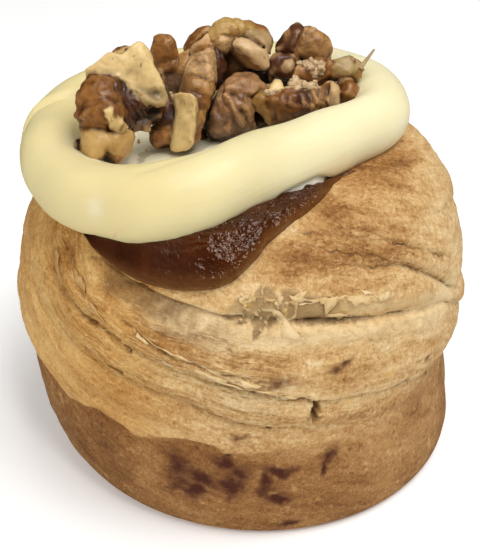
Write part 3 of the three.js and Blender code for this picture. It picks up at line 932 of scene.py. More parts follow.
# Icing: a piped ring with a dished floor, the same form as the solid's
RING_X = -3.8
RING_Y = 0.2
RING_RADIUS = 30.7
RING_FLATS = [(-58, 18), (95, 25.5)]
RING_CORNER = 10
RING_BULGES = [(-121, 13, -1.7), (-92, 17, 2.5), (175, 45, 0.6)]
TUBE_WIDTH = 12.4
TUBE_HEIGHT = 12.8
TUBE_SWELL = 0.1
TUBE_SWELL_ANGLE = -135
FRONT_SWELL = 0.17
FRONT_SWELL_ANGLE = -94
FRONT_SWELL_WIDTH = 24
RING_HEIGHT = 65.4
RING_TILT_X = 0.075
RING_TILT_Y = 0.03
TUBE_FOOT = 0.2
TUBE_FROM = -72
TUBE_TO = 205
FLOOR_THICKNESS = 2.2
SINK = 0.8
TOPPING_CLEARANCE = 1.2


def ring_radius(angle):
    total = RING_RADIUS**-RING_CORNER * np.ones_like(angle)
    for flat_angle, reach in RING_FLATS:
        facing = np.maximum(np.cos((angle - flat_angle) * RADIAN), 0)
        total = total + (facing / reach) ** RING_CORNER
    bulges = np.zeros_like(angle)
    for bulge_angle, half_width, amount in RING_BULGES:
        bulges += amount * hump(half_turn(angle - bulge_angle), 0, half_width)
    return total ** (-1 / RING_CORNER) + bulges


def tube_half(angle):
    swell = TUBE_SWELL * np.cos((angle - TUBE_SWELL_ANGLE) * RADIAN)
    swell = swell + FRONT_SWELL * hump(angle, FRONT_SWELL_ANGLE, FRONT_SWELL_WIDTH)
    return TUBE_WIDTH / 2 * (1 + swell)


# How much of the pastry's top at a place lies under the icing
def covered_share(points):
    x = points[:, 0] - RING_X
    y = points[:, 1] - RING_Y
    angle = np.arctan2(y, x) / RADIAN
    edge = ring_radius(angle) + TUBE_FOOT * tube_half(angle)
    under_icing = 1 - smoothstep(np.hypot(x, y) - edge, -1.5, 1.0)
    return under_icing * (points[:, 2] > TOPPED_HEIGHT)


ICING_COLUMNS = 300
ICING_UNDER = 10
ICING_TUBE = 64
ICING_FLOOR = 36
FLOOR_UNEVEN = 0.25
# The ring's inner side sags into the dish along the front left
SAG = 0.2
# The rope's end is laid over its start, with a slanting fold
ROPE_END = 172
ROPE_FOLD = 1.1
ROPE_DIP = 0.8
ROPE_WOBBLES = [(0.55, 17, 201), (0.26, 7, 202)]
ROPE_MARGIN = 40
# A thin flange shows below the rope on the right
FLANGE_LOW = -66
FLANGE_HIGH = -20
# A scuff on the rope's front, and a crease in the dish
SCUFF = (-24.6, -30.6, 66)
SCUFF_DEPTH = 0.5
DISH_FOLD = [(-17, -27.5, 70.6), (-14, -26.9, 71), (-9.1, -25, 71.3), (-3.9, -20.7, 71.6)]
DISH_FOLD_DEPTH = 0.4


# The rope's relief, its scuff and its flange, at points on the icing
def rope_relief(points, angle, roll, is_tube):
    wobble = sum(amount * noise(points / grain, seed) for amount, grain, seed in ROPE_WOBBLES)
    end_gap = half_turn(angle - ROPE_END + 0.16 * (roll - 60))
    fold = -ROPE_FOLD * hump(end_gap, 0, 1.6) - ROPE_DIP * window(end_gap, 0, 1.5, 4, 26)
    on_rope = window(roll, TUBE_FROM, TUBE_FROM + ROPE_MARGIN, TUBE_TO - ROPE_MARGIN, TUBE_TO) * is_tube
    flange_top = lerp(FLANGE_LOW, FLANGE_HIGH, window(angle, -84, -62, -46, -24))
    flanged = window(angle, -86, -78, -30, -24) * is_tube
    ledge = 0.9 * hump(roll, flange_top - 17, 13)
    groove = flanged * (hump(roll, flange_top, 5) - ledge)
    scuff = hump(np.linalg.norm((points - SCUFF) * (1, 1, 0.5), axis=1), 0, 1.3)
    crease = hump(distance_to(points, DISH_FOLD), 0, 0.7)
    relief = (wobble + fold) * on_rope - groove - SCUFF_DEPTH * scuff - DISH_FOLD_DEPTH * crease * is_tube
    return relief, scuff, flanged * smoothstep(flange_top - roll, -3, 2)


# The rows of the icing's mesh run out below it, round the tube and in over the floor of the dish: where each
# place belongs, and its share of the way along each of the three
def icing_rows(up):
    rows = ICING_UNDER + ICING_TUBE + ICING_FLOOR
    row = np.rint(up * (rows - 1)).astype(int)
    is_under = row < ICING_UNDER
    is_tube = ~is_under & (row < ICING_UNDER + ICING_TUBE)
    under_share = np.clip(row / (ICING_UNDER - 1), 0, 1)
    round_share = np.clip((row - ICING_UNDER) / (ICING_TUBE - 1), 0, 1)
    floor_share = np.clip((rows - 1 - row) / ICING_FLOOR, 0, 1)
    return is_under, is_tube, under_share, round_share, floor_share


def icing_shape(across, up):
    is_under, is_tube, under_share, round_share, floor_share = icing_rows(up)
    angle = across * 360 - 180
    turn = angle * RADIAN
    radius = ring_radius(angle)
    half = tube_half(angle)
    rise = half * TUBE_HEIGHT / TUBE_WIDTH
    middle_x = RING_X + radius * np.cos(turn)
    middle_y = RING_Y + radius * np.sin(turn)
    middle = RING_HEIGHT + RING_TILT_X * middle_x + RING_TILT_Y * middle_y
    roll = lerp(TUBE_FROM, TUBE_TO, round_share) * RADIAN
    degrees = np.degrees(roll)

    reach = np.where(is_under, under_share * (radius + TUBE_FOOT * half), radius + half * np.cos(roll))
    reach = np.where(is_under | is_tube, reach, (radius - half) * floor_share)
    x = RING_X + reach * np.cos(turn)
    y = RING_Y + reach * np.sin(turn)
    top = top_height(x, y)
    lowest = middle + rise * np.sin(TUBE_FROM * RADIAN)
    foot = np.where(under_share == 1, np.minimum(top - SINK, lowest), top - SINK)
    dish = top + FLOOR_THICKNESS
    inner_edge = middle + rise * np.sin(TUBE_TO * RADIAN)
    fillet = smoothstep(floor_share, 0.72, 1.0) ** 1.6
    floor = lerp(dish, np.maximum(inner_edge, dish), fillet)
    sag = SAG * window(angle, -176, -150, -132, -108) * smoothstep(degrees, 35, 125)
    tube_top = middle + rise * np.sin(roll) * np.where(np.sin(roll) > 0, 1 - sag, 1)
    z = np.where(is_under, foot, np.where(is_tube, tube_top, floor))
    points = np.stack([x, y, z], axis=-1)

    relief, scuff, flange = rope_relief(points, angle, degrees, is_tube)
    out = np.stack([np.cos(turn) * np.cos(roll), np.sin(turn) * np.cos(roll), np.sin(roll)], axis=-1)
    points = points + out * relief[:, None]
    uneven = FLOOR_UNEVEN * noise(points / 6, 203) * (1 - fillet)
    points[:, 2] += np.where(is_under | is_tube, 0, uneven)
    inner_front = window(angle, -172, -150, -90, -62) * smoothstep(degrees, 95, 140)
    values = {
        # the dish and the rope's inner front side are painted whiter: partly whiter icing, partly painted
        # light against the walnuts' shade
        "dish": np.where(is_tube | is_under, inner_front * is_tube, 1.0),
        "scuff": scuff,
        "flange": flange,
        # painted light: the ring is painted paler towards the right, where more light falls
        "light": smoothstep(x, -22, 26),
        "rope": np.stack([middle_x, middle_y, half * roll], axis=-1),
    }
    return points, values


# Sauce: a flat lobe that runs out from under the ring and down the shoulder. Its lower edge is given by angle
# and radius
SAUCE_EDGE = [
    (-138.5, 35.4), (-132, 36.6), (-123.5, 37.6), (-113.8, 38.3), (-105.2, 38.4), (-96.2, 37.9),
    (-91.2, 36.9), (-88, 35.4), (-85, 33.9), (-81.8, 31.8), (-77, 30), (-71.5, 28.1), (-60.8, 25.6),
    (-50, 23.6), (-42, 22.3), (-35, 22.4), (-28, 23.6),
]
SAUCE_SPAN = 0.34
SAUCE_COLUMNS = 180
SAUCE_ROWS = 110
SAUCE_THICKNESS = 3.4
SAUCE_TAPER = 0.5
SAUCE_TAIL = 0.4
SAUCE_LUMP = 0.45
SAUCE_CREST = 0.3
SAUCE_BEAD = 0.16
SAUCE_RIDGES = [[(-17.5, -35, 58), (-15.6, -36.4, 56)], [(-9, -36, 57.6), (-6.4, -37, 55.6)]]
SAUCE_RIDGE = 0.5
LEAST_FULL = 1e-6


# The sauce's fine relief: lumps, beads and a few ridges
def sauce_relief(points, grainy):
    lumps = SAUCE_LUMP * rough(points / 5, 301) + SAUCE_CREST * crests(points / 2.6, 305)
    beads = SAUCE_BEAD * crests(points / 0.9, 311) * lerp(0.35, 1, grainy)
    ridges = np.zeros(len(points))
    for line in SAUCE_RIDGES:
        ridges = np.maximum(ridges, hump(distance_to(points, line), 0, 0.6))
    return lumps + beads + SAUCE_RIDGE * ridges


# A ball spread over the pastry: its sides reach along the sauce's edge, and its front bulges out
def sauce_piece():
    ball = bmesh.new()
    bmesh.ops.create_uvsphere(ball, u_segments=SAUCE_COLUMNS, v_segments=SAUCE_ROWS, radius=1)
    mesh = new_mesh("sauce_run", ball)
    unit = vertex_array(mesh)
    side, out, down = unit[:, 0], -unit[:, 1], -unit[:, 2]
    full = np.sqrt(np.maximum(1 - side**2, LEAST_FULL))
    angle = lerp(SAUCE_EDGE[0][0], SAUCE_EDGE[-1][0], (1 + side) / 2)
    narrow = 1 - np.abs(side) ** 3
    radius = line_at(SAUCE_EDGE, angle) * (1 - SAUCE_SPAN * narrow * (1 - down / full) / 2)
    crown = SECTION[:, 1] > TOPPED_HEIGHT
    length = np.interp(-radius, -SECTION[crown, 0], SECTION_LENGTH[crown])
    way = outward(angle, length)
    bulge = np.sqrt(np.abs(out / full)) * np.minimum(1, 4 * full)
    tail = smoothstep(side, 0.45, 0.8)
    thick = SAUCE_THICKNESS * (1 - SAUCE_TAPER * smoothstep(side, -0.12, 0.48) - SAUCE_TAIL * tail)
    lift = np.where(out > 0, thick, -SINK) * bulge
    points = base_points(angle, length) + way * lift[:, None]
    grainy = smoothstep(side, -0.56, -0.12) * (1 - 0.6 * smoothstep(side, 0.4, 0.7))
    grainy = grainy * lerp(0.6, 1, smoothstep(down / full, 0.8, 0.2))
    front = smoothstep(out / full, 0.05, 0.35)
    points = points + way * (sauce_relief(points, grainy) * front)[:, None]
    set_vertices(mesh, points * MM)
    rim = smoothstep(down / full, 0.5, 1) * (1 - smoothstep(bulge, 0.5, 1))
    paint(mesh, {"grainy": grainy, "thin": np.maximum(rim, tail)})
    return smooth_piece("sauce_run", opened(mesh), mesh)


# The camera, and the picture that it takes
IMAGE_WIDTH = 480
IMAGE_HEIGHT = 549
FOCAL_PIXELS = 1088
CAMERA_REACH = 0.22
CAMERA_PITCH = 32 * RADIAN
CAMERA_AIM = (0, 0, 0.036)
FRAME_LIFT = 13.5
PICTURE_MIDDLE = (IMAGE_WIDTH / 2, IMAGE_HEIGHT / 2 - FRAME_LIFT)
VIEW_RIGHT = np.array([1, 0, 0])
VIEW_UP = np.array([0, np.sin(CAMERA_PITCH), np.cos(CAMERA_PITCH)])
VIEW_FACING = np.array([0, -np.cos(CAMERA_PITCH), np.sin(CAMERA_PITCH)])
CAMERA_PLACE = np.array(CAMERA_AIM) + CAMERA_REACH * VIEW_FACING

# Close-ups of the picture on which the walnuts' outlines were picked: the left and the top edge of
# each in the picture's pixels, and how much larger it is
CLOSE_UPS = {
    "left": (70, 10, 8),
    "middle": (70, 10, 4),
    "right": (230, 10, 8),
    "centre": (180, 10, 9),
    "front": (200, 68, 9),
    "far": (280, 15, 9),
}

# Walnuts: each grows out of the core of its solid in broken parts. A part is the close-up that shows it, its
# middle there, half its depth, how square it is, how far it stands out from the solid, its finish, its ridges
# as a direction and a spacing, and its outline in the close-up
VOXEL = 0.00025
CORE_SHARE = 0.94
PART_SWELL = 1.05
FLESH_SWELL = 1.1
PART_CONTRAST = 24
ROUND_POINTS = 14
ROUND_STRAY = 0.05
LEAN_SAMPLE = 0.8
LEAN_MOST = 0.8
LEAN_STEP = 5
TONES = {
    "skin": (156, 104, 50),
    "amber": (190, 142, 84),
    "brown": (142, 92, 42),
    "dark": (92, 54, 32),
    "dark_tan": (120, 86, 58),
    "tan": (214, 174, 122),
    "pink_tan": (176, 133, 92),
    "grey": (130, 98, 72),
    # painted shade: parts of this tone are dark lumps sunk in the gaps between and under the walnuts
    "shade": (38, 22, 14),
    "flesh": (228, 198, 137),
    "dull_flesh": (210, 177, 130),
    "yellow": (196, 158, 96),
    "gold": (184, 148, 86),
    "gold_dark": (148, 110, 52),
    "slab_side": (136, 96, 54),
    "pale_tan": (174, 143, 100),
    "mottled": (174, 140, 88),
    "crumb": (212, 184, 142),
    "pink_crumb": (200, 166, 130),
    "olive": (172, 146, 98),
    "pale_grey": (182, 156, 108),
}
FLESHY = (
    "flesh", "dull_flesh", "yellow", "gold", "gold_dark", "slab_side", "pale_tan",
    "mottled", "crumb", "pink_crumb", "olive", "pale_grey",
)
CRUMBLY = {"crumb": 1.0, "pink_crumb": 1.0, "gold": 0.6, "gold_dark": 0.3, "mottled": 0.45}
# Hollows pressed into a walnut: the middle, the radius and the depth
HOLLOWS = {"walnut_1": [((-15.2, -7, 75.1), 1.4, 0.7)]}


# The outline of a rounded part, a little uneven
def round_outline(middle, half_width, half_height):
    number = np.arange(ROUND_POINTS)
    turn = number * 2 * np.pi / ROUND_POINTS
    across = middle[0] + half_width * np.cos(turn) * (1 + ROUND_STRAY * np.sin(3 * number))
    down = middle[1] + half_height * np.sin(turn) * (1 + ROUND_STRAY * np.cos(2 * number))
    return list(zip(across, down))


KERNELS = {
    "walnut_1": [
        ("left", (230, 750), 3.4, 2.2, 0, "skin", (75, 2.6), [
            (60, 660), (110, 580), (170, 535), (260, 530), (330, 560), (360, 640), (400, 740), (440, 850),
            (400, 920), (300, 960), (180, 945), (90, 930), (50, 870), (45, 760)]),
        ("left", (470, 740), 2.6, 2, -0.4, "dark", (25, 0.8), [
            (330, 545), (430, 590), (520, 670), (580, 740), (640, 800), (600, 850), (520, 860), (480, 960),
            (440, 850), (390, 720), (340, 620)]),
        ("left", (360, 880), 1.4, 3, 1.8, "flesh", None, [
            (275, 835), (350, 785), (395, 840), (455, 930), (430, 975), (330, 945)]),
        ("left", (195, 1070), 3, 2.4, 0.3, "yellow", None, [
            (92, 965), (190, 928), (290, 955), (312, 1040), (292, 1130), (230, 1227), (150, 1218),
            (108, 1150), (90, 1060)]),
        ("left", (380, 1060), 3, 2.6, 0.4, "yellow", None, [
            (270, 985), (330, 970), (470, 960), (502, 1000), (482, 1090), (430, 1180), (360, 1150),
            (285, 1120)]),
        ("left", (330, 1185), 2.2, 2, 0, "amber", None, [
            (230, 1180), (300, 1130), (400, 1150), (425, 1190), (370, 1240), (300, 1218)]),
        ("left", (490, 500), 1.3, 4.5, 0.7, "flesh", None, [
            (160, 505), (250, 412), (330, 345), (430, 385), (500, 310), (545, 268), (586, 272), (640, 380),
            (702, 540), (746, 622), (700, 655), (640, 668), (560, 665), (500, 640), (430, 585), (340, 540),
            (250, 535)]),
        ("left", (660, 725), 1.4, 2, 0.9, "pale_grey", None, [
            (540, 655), (600, 700), (680, 712), (745, 650), (782, 685), (752, 748), (690, 782), (610, 745),
            (550, 690)]),
        ("left", (738, 640), 1.2, 2, 1.1, "pale_grey", None, [
            (690, 560), (730, 600), (778, 650), (784, 690), (742, 700), (705, 640)]),
        ("left", (410, 340), 1.2, 2, -0.2, "dark", None, [
            (322, 352), (380, 303), (440, 298), (497, 315), (470, 350), (420, 385), (350, 375)]),
        ("left", (575, 910), 1.2, 2.2, -0.2, "grey", None, [
            (450, 900), (500, 850), (560, 845), (645, 885), (645, 965), (560, 972), (480, 975)]),
        ("left", (640, 830), 2, 2, -1.1, "shade", None, [
            (530, 735), (640, 745), (745, 735), (720, 860), (650, 905), (550, 880)]),
        ("left", (65, 1100), 1.2, 2, -0.8, "shade", None, [
            (30, 1040), (75, 1035), (105, 1090), (95, 1165), (48, 1145)]),
    ],
    "walnut_2": [
        ("left", (760, 310), 2.4, 2.2, 0, "skin", None, [
            (668, 215), (720, 192), (800, 203), (850, 255), (862, 330), (842, 400), (780, 432), (700, 425),
            (658, 385), (658, 290)]),
        ("left", (770, 465), 2.4, 2, 0, "skin", None, [
            (655, 390), (760, 395), (870, 395), (885, 460), (855, 525), (760, 545), (680, 500)]),
        ("left", (925, 440), 2, 2, 0, "amber", None, [
            (878, 360), (962, 322), (990, 380), (965, 440), (935, 525), (888, 565), (858, 500)]),
        ("left", (800, 590), 2.2, 2, -0.2, "grey", None, [
            (680, 485), (800, 495), (905, 540), (895, 620), (865, 685), (760, 670), (705, 600)]),
        ("left", (730, 540), 1, 2.4, 0.4, "tan", None, [(690, 488), (742, 498), (775, 560), (720, 595)]),
    ],
    "walnut_3": [
        ("left", (1075, 290), 2.4, 2.2, 0, "amber", None, [
            (1000, 272), (1060, 233), (1130, 243), (1182, 290), (1165, 335), (1090, 340), (1000, 352),
            (958, 345)]),
        ("left", (1060, 405), 2.5, 2.4, 0.15, "tan", None, [
            (952, 345), (1020, 335), (1120, 328), (1168, 400), (1165, 490), (1100, 490), (1010, 440),
            (945, 425)]),
        ("left", (1040, 500), 2.5, 2.4, 0, "tan", None, [
            (938, 425), (1010, 425), (1100, 465), (1168, 500), (1155, 590), (1060, 570), (960, 530),
            (910, 525)]),
        ("left", (1015, 610), 2.5, 2.4, 0.1, "amber", None, [
            (900, 535), (970, 522), (1080, 562), (1155, 595), (1135, 690), (1040, 692), (930, 655),
            (885, 615)]),
        ("left", (1000, 720), 2.5, 2.4, 0, "skin", None, [
            (875, 640), (950, 640), (1050, 680), (1135, 685), (1105, 795), (1020, 812), (940, 755),
            (865, 695)]),
        ("left", (1010, 860), 2.4, 2.2, 0, "amber", None, [
            (915, 735), (1000, 780), (1095, 790), (1075, 880), (1035, 965), (980, 950), (925, 840)]),
        ("left", (985, 1000), 2.2, 2, 0, "skin", None, [
            (955, 920), (1045, 940), (1030, 1040), (992, 1075), (930, 1065), (925, 980)]),
        ("left", (1195, 450), 2, 2, -0.3, "dark", (20, 0.75), [
            (1130, 250), (1192, 283), (1238, 350), (1254, 440), (1228, 560), (1182, 655), (1135, 625),
            (1160, 500), (1160, 400), (1150, 330)]),
        ("centre", (205, 300), 2, 2.2, 0, "tan", None, [
            (95, 400), (120, 340), (190, 270), (268, 212), (322, 262), (305, 312), (230, 312), (170, 350),
            (110, 410)]),
        ("centre", (262, 740), 1.6, 2, 0.3, "brown", None, [
            (245, 560), (310, 590), (324, 700), (294, 820), (255, 900), (190, 905), (205, 800), (222, 680),
        ]),
        ("left", (905, 900), 1.6, 5, 0.8, "flesh", None, [
            (828, 690), (885, 682), (1002, 730), (1014, 800), (1002, 880), (977, 1082), (830, 1110),
            (798, 1092), (823, 960), (843, 830)]),
        ("left", (770, 830), 2, 2.2, -0.1, "dark", None, [
            (780, 700), (832, 740), (850, 830), (832, 925), (730, 945), (678, 900), (698, 800)]),
        ("left", (725, 1010), 2.2, 2.2, 0.1, "skin", None, [
            (638, 950), (700, 918), (822, 928), (812, 1092), (700, 1105), (636, 1060)]),
        ("left", (822, 692), 0.6, 2, 0.5, "crumb", None, [(798, 662), (852, 688), (832, 722), (800, 692)]),
    ],
    "walnut_4": [
        ("centre", (430, 160), 2.4, 2.2, 0, "gold", None, [
            (270, 215), (300, 140), (345, 92), (395, 54), (450, 64), (520, 82), (565, 125), (600, 175),
            (560, 225), (500, 240), (440, 245), (380, 240), (320, 262), (285, 290)]),
        ("centre", (505, 185), 1, 2, 0.7, "gold_dark", None, [
            (450, 180), (490, 145), (545, 172), (555, 215), (510, 232), (460, 225)]),
        ("centre", (345, 185), 1, 2, 0.5, "gold", None, [
            (290, 230), (310, 170), (350, 130), (395, 150), (400, 210), (350, 245), (300, 275)]),
        ("centre", (400, 300), 1.8, 2.2, -0.1, "tan", None, [
            (325, 262), (400, 240), (462, 262), (470, 325), (435, 345), (370, 345), (325, 320)]),
        ("centre", (640, 375), 1.9, 2.6, 0.8, "dull_flesh", None, [
            (488, 300), (525, 264), (590, 262), (680, 310), (765, 375), (802, 435), (795, 492), (752, 518),
            (690, 482), (600, 405), (530, 355), (492, 335)]),
        ("centre", (600, 445), 1.8, 2, -0.1, "slab_side", None, [
            (470, 360), (530, 365), (600, 415), (690, 490), (745, 525), (700, 548), (600, 510), (510, 450),
            (470, 410)]),
        ("centre", (725, 285), 1.4, 3.2, 0, "pale_tan", None, [
            (590, 185), (680, 212), (800, 217), (834, 238), (834, 330), (815, 402), (760, 355), (690, 290),
            (610, 240)]),
        ("centre", (590, 500), 2.2, 2, -1.7, "shade", None, [
            (420, 400), (500, 420), (620, 490), (745, 530), (770, 600), (660, 570), (520, 560), (420, 600),
            (405, 500)]),
        ("middle", (808, 235), 1.4, 2, -0.6, "dark", None, [
            (780, 235), (808, 185), (832, 205), (836, 262), (800, 286)]),
    ],
    "walnut_5": [
        ("front", (390, 150), 2.4, 2.2, 0, "pink_tan", None, [
            (215, 200), (225, 130), (250, 95), (300, 70), (370, 50), (450, 38), (510, 55), (550, 90),
            (560, 150), (520, 210), (470, 250), (400, 275), (320, 265), (255, 235)]),
        ("front", (520, 165), 1.6, 2.2, 0.3, "mottled", None, [
            (430, 75), (520, 72), (590, 112), (650, 142), (640, 200), (590, 240), (520, 250), (450, 240),
            (420, 170)]),
        ("front", (190, 340), 2, 2.2, 0.1, "pink_tan", None, [
            (112, 330), (130, 260), (165, 225), (200, 250), (235, 320), (272, 400), (250, 455), (200, 445),
            (140, 410)]),
        ("front", (310, 380), 2.2, 2.2, 0.05, "pink_tan", None, [
            (215, 232), (265, 240), (318, 300), (350, 370), (398, 430), (408, 500), (370, 532), (330, 490),
            (290, 420), (245, 330)]),
        ("front", (420, 385), 2.2, 2.2, 0.05, "pink_tan", None, [
            (330, 275), (400, 272), (462, 300), (485, 380), (492, 455), (445, 505), (412, 440), (385, 390),
            (345, 340)]),
        ("front", (150, 530), 1.8, 2, 0.1, "grey", None, [
            (55, 540), (78, 470), (130, 430), (200, 450), (252, 472), (240, 545), (200, 602), (140, 622),
            (68, 592)]),
        ("front", (360, 550), 1.6, 2, -0.2, "dark_tan", None, [
            (235, 515), (262, 470), (312, 470), (360, 520), (420, 500), (500, 470), (502, 535), (420, 585),
            (340, 612), (250, 602)]),
        ("front", (260, 545), 0.8, 2, 0.3, "pink_tan", None, [
            (232, 540), (255, 500), (288, 540), (275, 578)]),
        ("front", (10, 590), 1.2, 2, -1.4, "shade", None, [
            (-60, 560), (0, 505), (55, 560), (85, 625), (20, 655), (-60, 640)]),
        ("middle", (620, 495), 1.6, 2, -1, "shade", None, [
            (538, 468), (600, 478), (660, 488), (704, 488), (665, 514), (560, 518)]),
    ],
    "walnut_6": [
        ("right", (480, 240), 2.4, 2.2, 0, "dark", None, [
            (350, 338), (440, 198), (483, 128), (535, 105), (585, 138), (568, 220), (530, 300), (485, 355),
            (420, 350)]),
        ("far", (78, 190), 1.4, 2, 0.5, "amber", None, [
            (15, 255), (45, 155), (98, 108), (122, 160), (112, 232), (60, 268)]),
        ("right", (635, 170), 1.8, 2, 0.1, "tan", None, [
            (570, 150), (640, 126), (695, 148), (685, 205), (610, 218), (572, 195)]),
        ("right", (670, 300), 2.8, 2.2, 0, "amber", None, [
            (555, 218), (600, 198), (650, 184), (700, 178), (755, 197), (793, 230), (812, 266), (816, 305),
            (806, 345), (780, 380), (742, 404), (690, 415), (640, 414), (590, 408), (556, 395), (528, 362),
            (515, 320), (528, 262)]),
        ("right", (735, 222), 0.9, 2, 0.6, "amber", None, [
            (700, 205), (735, 192), (768, 222), (748, 250), (712, 246)]),
    ],
    "walnut_7": [
        ("right", (260, 770), 1.8, 2.2, 0.2, "gold_dark", None, [
            (160, 742), (198, 688), (270, 676), (305, 720), (285, 790), (335, 850), (395, 882), (330, 916),
            (275, 855), (195, 792)]),
        ("right", (420, 780), 2.4, 2.2, 0, "brown", (10, 2.6), [
            (282, 698), (400, 686), (482, 676), (556, 730), (565, 802), (502, 855), (390, 886), (326, 842),
            (286, 782)]),
        ("right", (575, 740), 2.2, 2, 0, "dark", None, [
            (478, 676), (560, 656), (624, 656), (646, 740), (634, 806), (560, 836), (548, 740)]),
        ("right", (710, 700), 2.4, 2.2, 0, "amber", (8, 2.4), [
            (598, 636), (700, 606), (784, 596), (806, 700), (784, 776), (648, 806), (636, 720)]),
        ("right", (825, 680), 2.1, 2.2, 0.5, "dull_flesh", None, [
            (772, 588), (820, 576), (864, 618), (870, 700), (864, 765), (788, 776), (786, 680)]),
        ("right", (950, 660), 2.3, 2.2, 0, "skin", None, round_outline((950, 660), 80, 92)),
        ("right", (915, 565), 1.2, 2, 0.3, "tan", None, [
            (858, 538), (930, 526), (984, 558), (900, 604), (858, 594)]),
        ("right", (460, 655), 1, 2.4, 0.6, "crumb", None, [
            (246, 682), (310, 638), (420, 646), (480, 626), (560, 606), (684, 586), (694, 624), (560, 664),
            (440, 694), (330, 704)]),
        ("right", (365, 625), 1.2, 3, 0.9, "flesh", None, [
            (308, 612), (360, 556), (402, 556), (424, 612), (402, 684), (340, 684)]),
        ("right", (525, 605), 1, 2.6, 0.8, "crumb", None, [
            (466, 602), (500, 556), (542, 556), (594, 612), (520, 656)]),
        ("right", (255, 880), 1.6, 2, -1.6, "shade", None, [
            (186, 798), (280, 850), (335, 912), (230, 950), (186, 905)]),
    ],
    "walnut_8": [
        ("far", (270, 545), 1.5, 2.2, 0, "brown", None, [
            (108, 565), (130, 500), (200, 470), (300, 470), (385, 480), (430, 560), (385, 625), (280, 598),
            (180, 596)]),
        ("far", (235, 445), 1, 2, 0.6, "pink_crumb", None, [
            (185, 430), (225, 402), (285, 428), (292, 475), (235, 488), (190, 468)]),
        ("far", (340, 490), 1, 2, 0.6, "pink_crumb", None, [
            (278, 498), (310, 448), (370, 425), (410, 440), (392, 492), (360, 540), (308, 545)]),
        ("far", (160, 500), 0.8, 2, 0.6, "pink_crumb", None, [
            (118, 510), (150, 465), (190, 480), (180, 525), (135, 535)]),
        ("right", (780, 480), 1.6, 2, 0.1, "skin", None, [
            (768, 388), (812, 382), (844, 420), (824, 470), (794, 544), (740, 586), (696, 544), (738, 480),
        ]),
        ("right", (910, 450), 1.6, 2.4, 0.1, "olive", None, [
            (836, 400), (900, 382), (950, 366), (1004, 420), (1004, 472), (950, 526), (880, 526),
            (816, 482)]),
        ("right", (980, 400), 0.8, 2, 0.4, "dark", None, [
            (946, 362), (984, 372), (1010, 430), (984, 444), (960, 400)]),
        ("right", (1035, 500), 0.7, 2.4, 0.2, "gold_dark", None, [
            (980, 478), (1094, 468), (1052, 524), (1010, 544), (986, 512)]),
        ("right", (910, 545), 1.4, 2, -0.1, "tan", None, [
            (816, 500), (900, 516), (1004, 528), (1014, 584), (900, 576), (826, 564)]),
    ],
    "walnut_9": [
        ("right", (445, 448), 1.6, 2.2, 0.5, "pale_tan", None, round_outline((445, 448), 62, 56)),
        ("centre", (760, 590), 1.6, 2, -1, "shade", None, [
            (690, 545), (760, 540), (830, 560), (842, 640), (760, 655), (690, 612)]),
        ("right", (430, 450), 1.6, 2, 0, "dark", None, [
            (326, 400), (400, 356), (500, 366), (544, 430), (524, 504), (480, 546), (400, 546), (316, 504),
        ]),
    ],
    "walnut_10": [
        ("left", (1050, 210), 2.4, 2.2, 0, "skin", None, [
            (962, 302), (972, 220), (1008, 166), (1060, 136), (1150, 134), (1120, 215), (1040, 276)]),
    ],
}


CORE_MERGE = 1e-6
LEAST_FACING = 1e-6
PART_DETAIL = 4
PART_SUNK = 0.75
PART_UNEVEN = 0.35
PART_JAGGED = 0.15
LEAN_FEWEST = 4
SOFTEN_SHARE = 0.5
SOFTEN_ROUNDS = 7


def finished_mesh(piece):
    bpy.context.view_layer.update()
    seen = piece.evaluated_get(bpy.context.evaluated_depsgraph_get())
    return bpy.data.meshes.new_from_object(seen)


# Three values of noise, to move points by
def stray(points, seed):
    return np.stack([noise(points, seed + number) for number in range(3)], axis=-1)


# How far the straight-edged outline of a part reaches in a direction from its middle
def outline_reach(outline, across, up):
    stops = np.array(outline, float)
    turn = np.arctan2(stops[:, 1], stops[:, 0])
    heading = np.arctan2(up, across)
    number = np.searchsorted(turn, heading) - 1
    first = stops[number]
    second = np.roll(stops, -1, axis=0)[number]
    edge = second - first
    facing = np.cos(heading) * edge[:, 1] - np.sin(heading) * edge[:, 0]
    area = first[:, 0] * second[:, 1] - first[:, 1] * second[:, 0]
    longest = np.maximum(np.hypot(first[:, 0], first[:, 1]), np.hypot(second[:, 0], second[:, 1]))
    reach = np.minimum(area / np.maximum(facing, LEAST_FACING), longest)
    return np.where((facing > LEAST_FACING) & (area > 0), reach, longest)


# Places in the picture, as shares of the depth in the view by which they lie across and up from its middle
def in_view(places):
    return (places - PICTURE_MIDDLE) * (1, -1) / FOCAL_PIXELS


def line_of_sight(line):
    return line[0] * VIEW_RIGHT + line[1] * VIEW_UP - VIEW_FACING


# How deep in the view lines of sight first meet a solid, or where they miss it, its nearest corner
def seen_depths(node, places):
    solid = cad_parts[node].data
    corners = vertex_array(solid)
    skin = BVHTree.FromPolygons(corners.tolist(), [face.vertices[:] for face in solid.polygons])
    depths = (CAMERA_PLACE - corners) @ VIEW_FACING
    shown = np.stack([corners @ VIEW_RIGHT, (corners - CAMERA_PLACE) @ VIEW_UP], axis=-1) / depths[:, None]
    found = []
    hits = []
    for line in in_view(places):
        place = skin.ray_cast(CAMERA_PLACE, line_of_sight(line))[0]
        hits.append(place is not None)
        nearest = depths[np.argmin(np.hypot(*(shown - line).T))]
        found.append((CAMERA_PLACE - np.array(place)) @ VIEW_FACING if place else nearest)
    return np.array(found) / MM, np.array(hits)


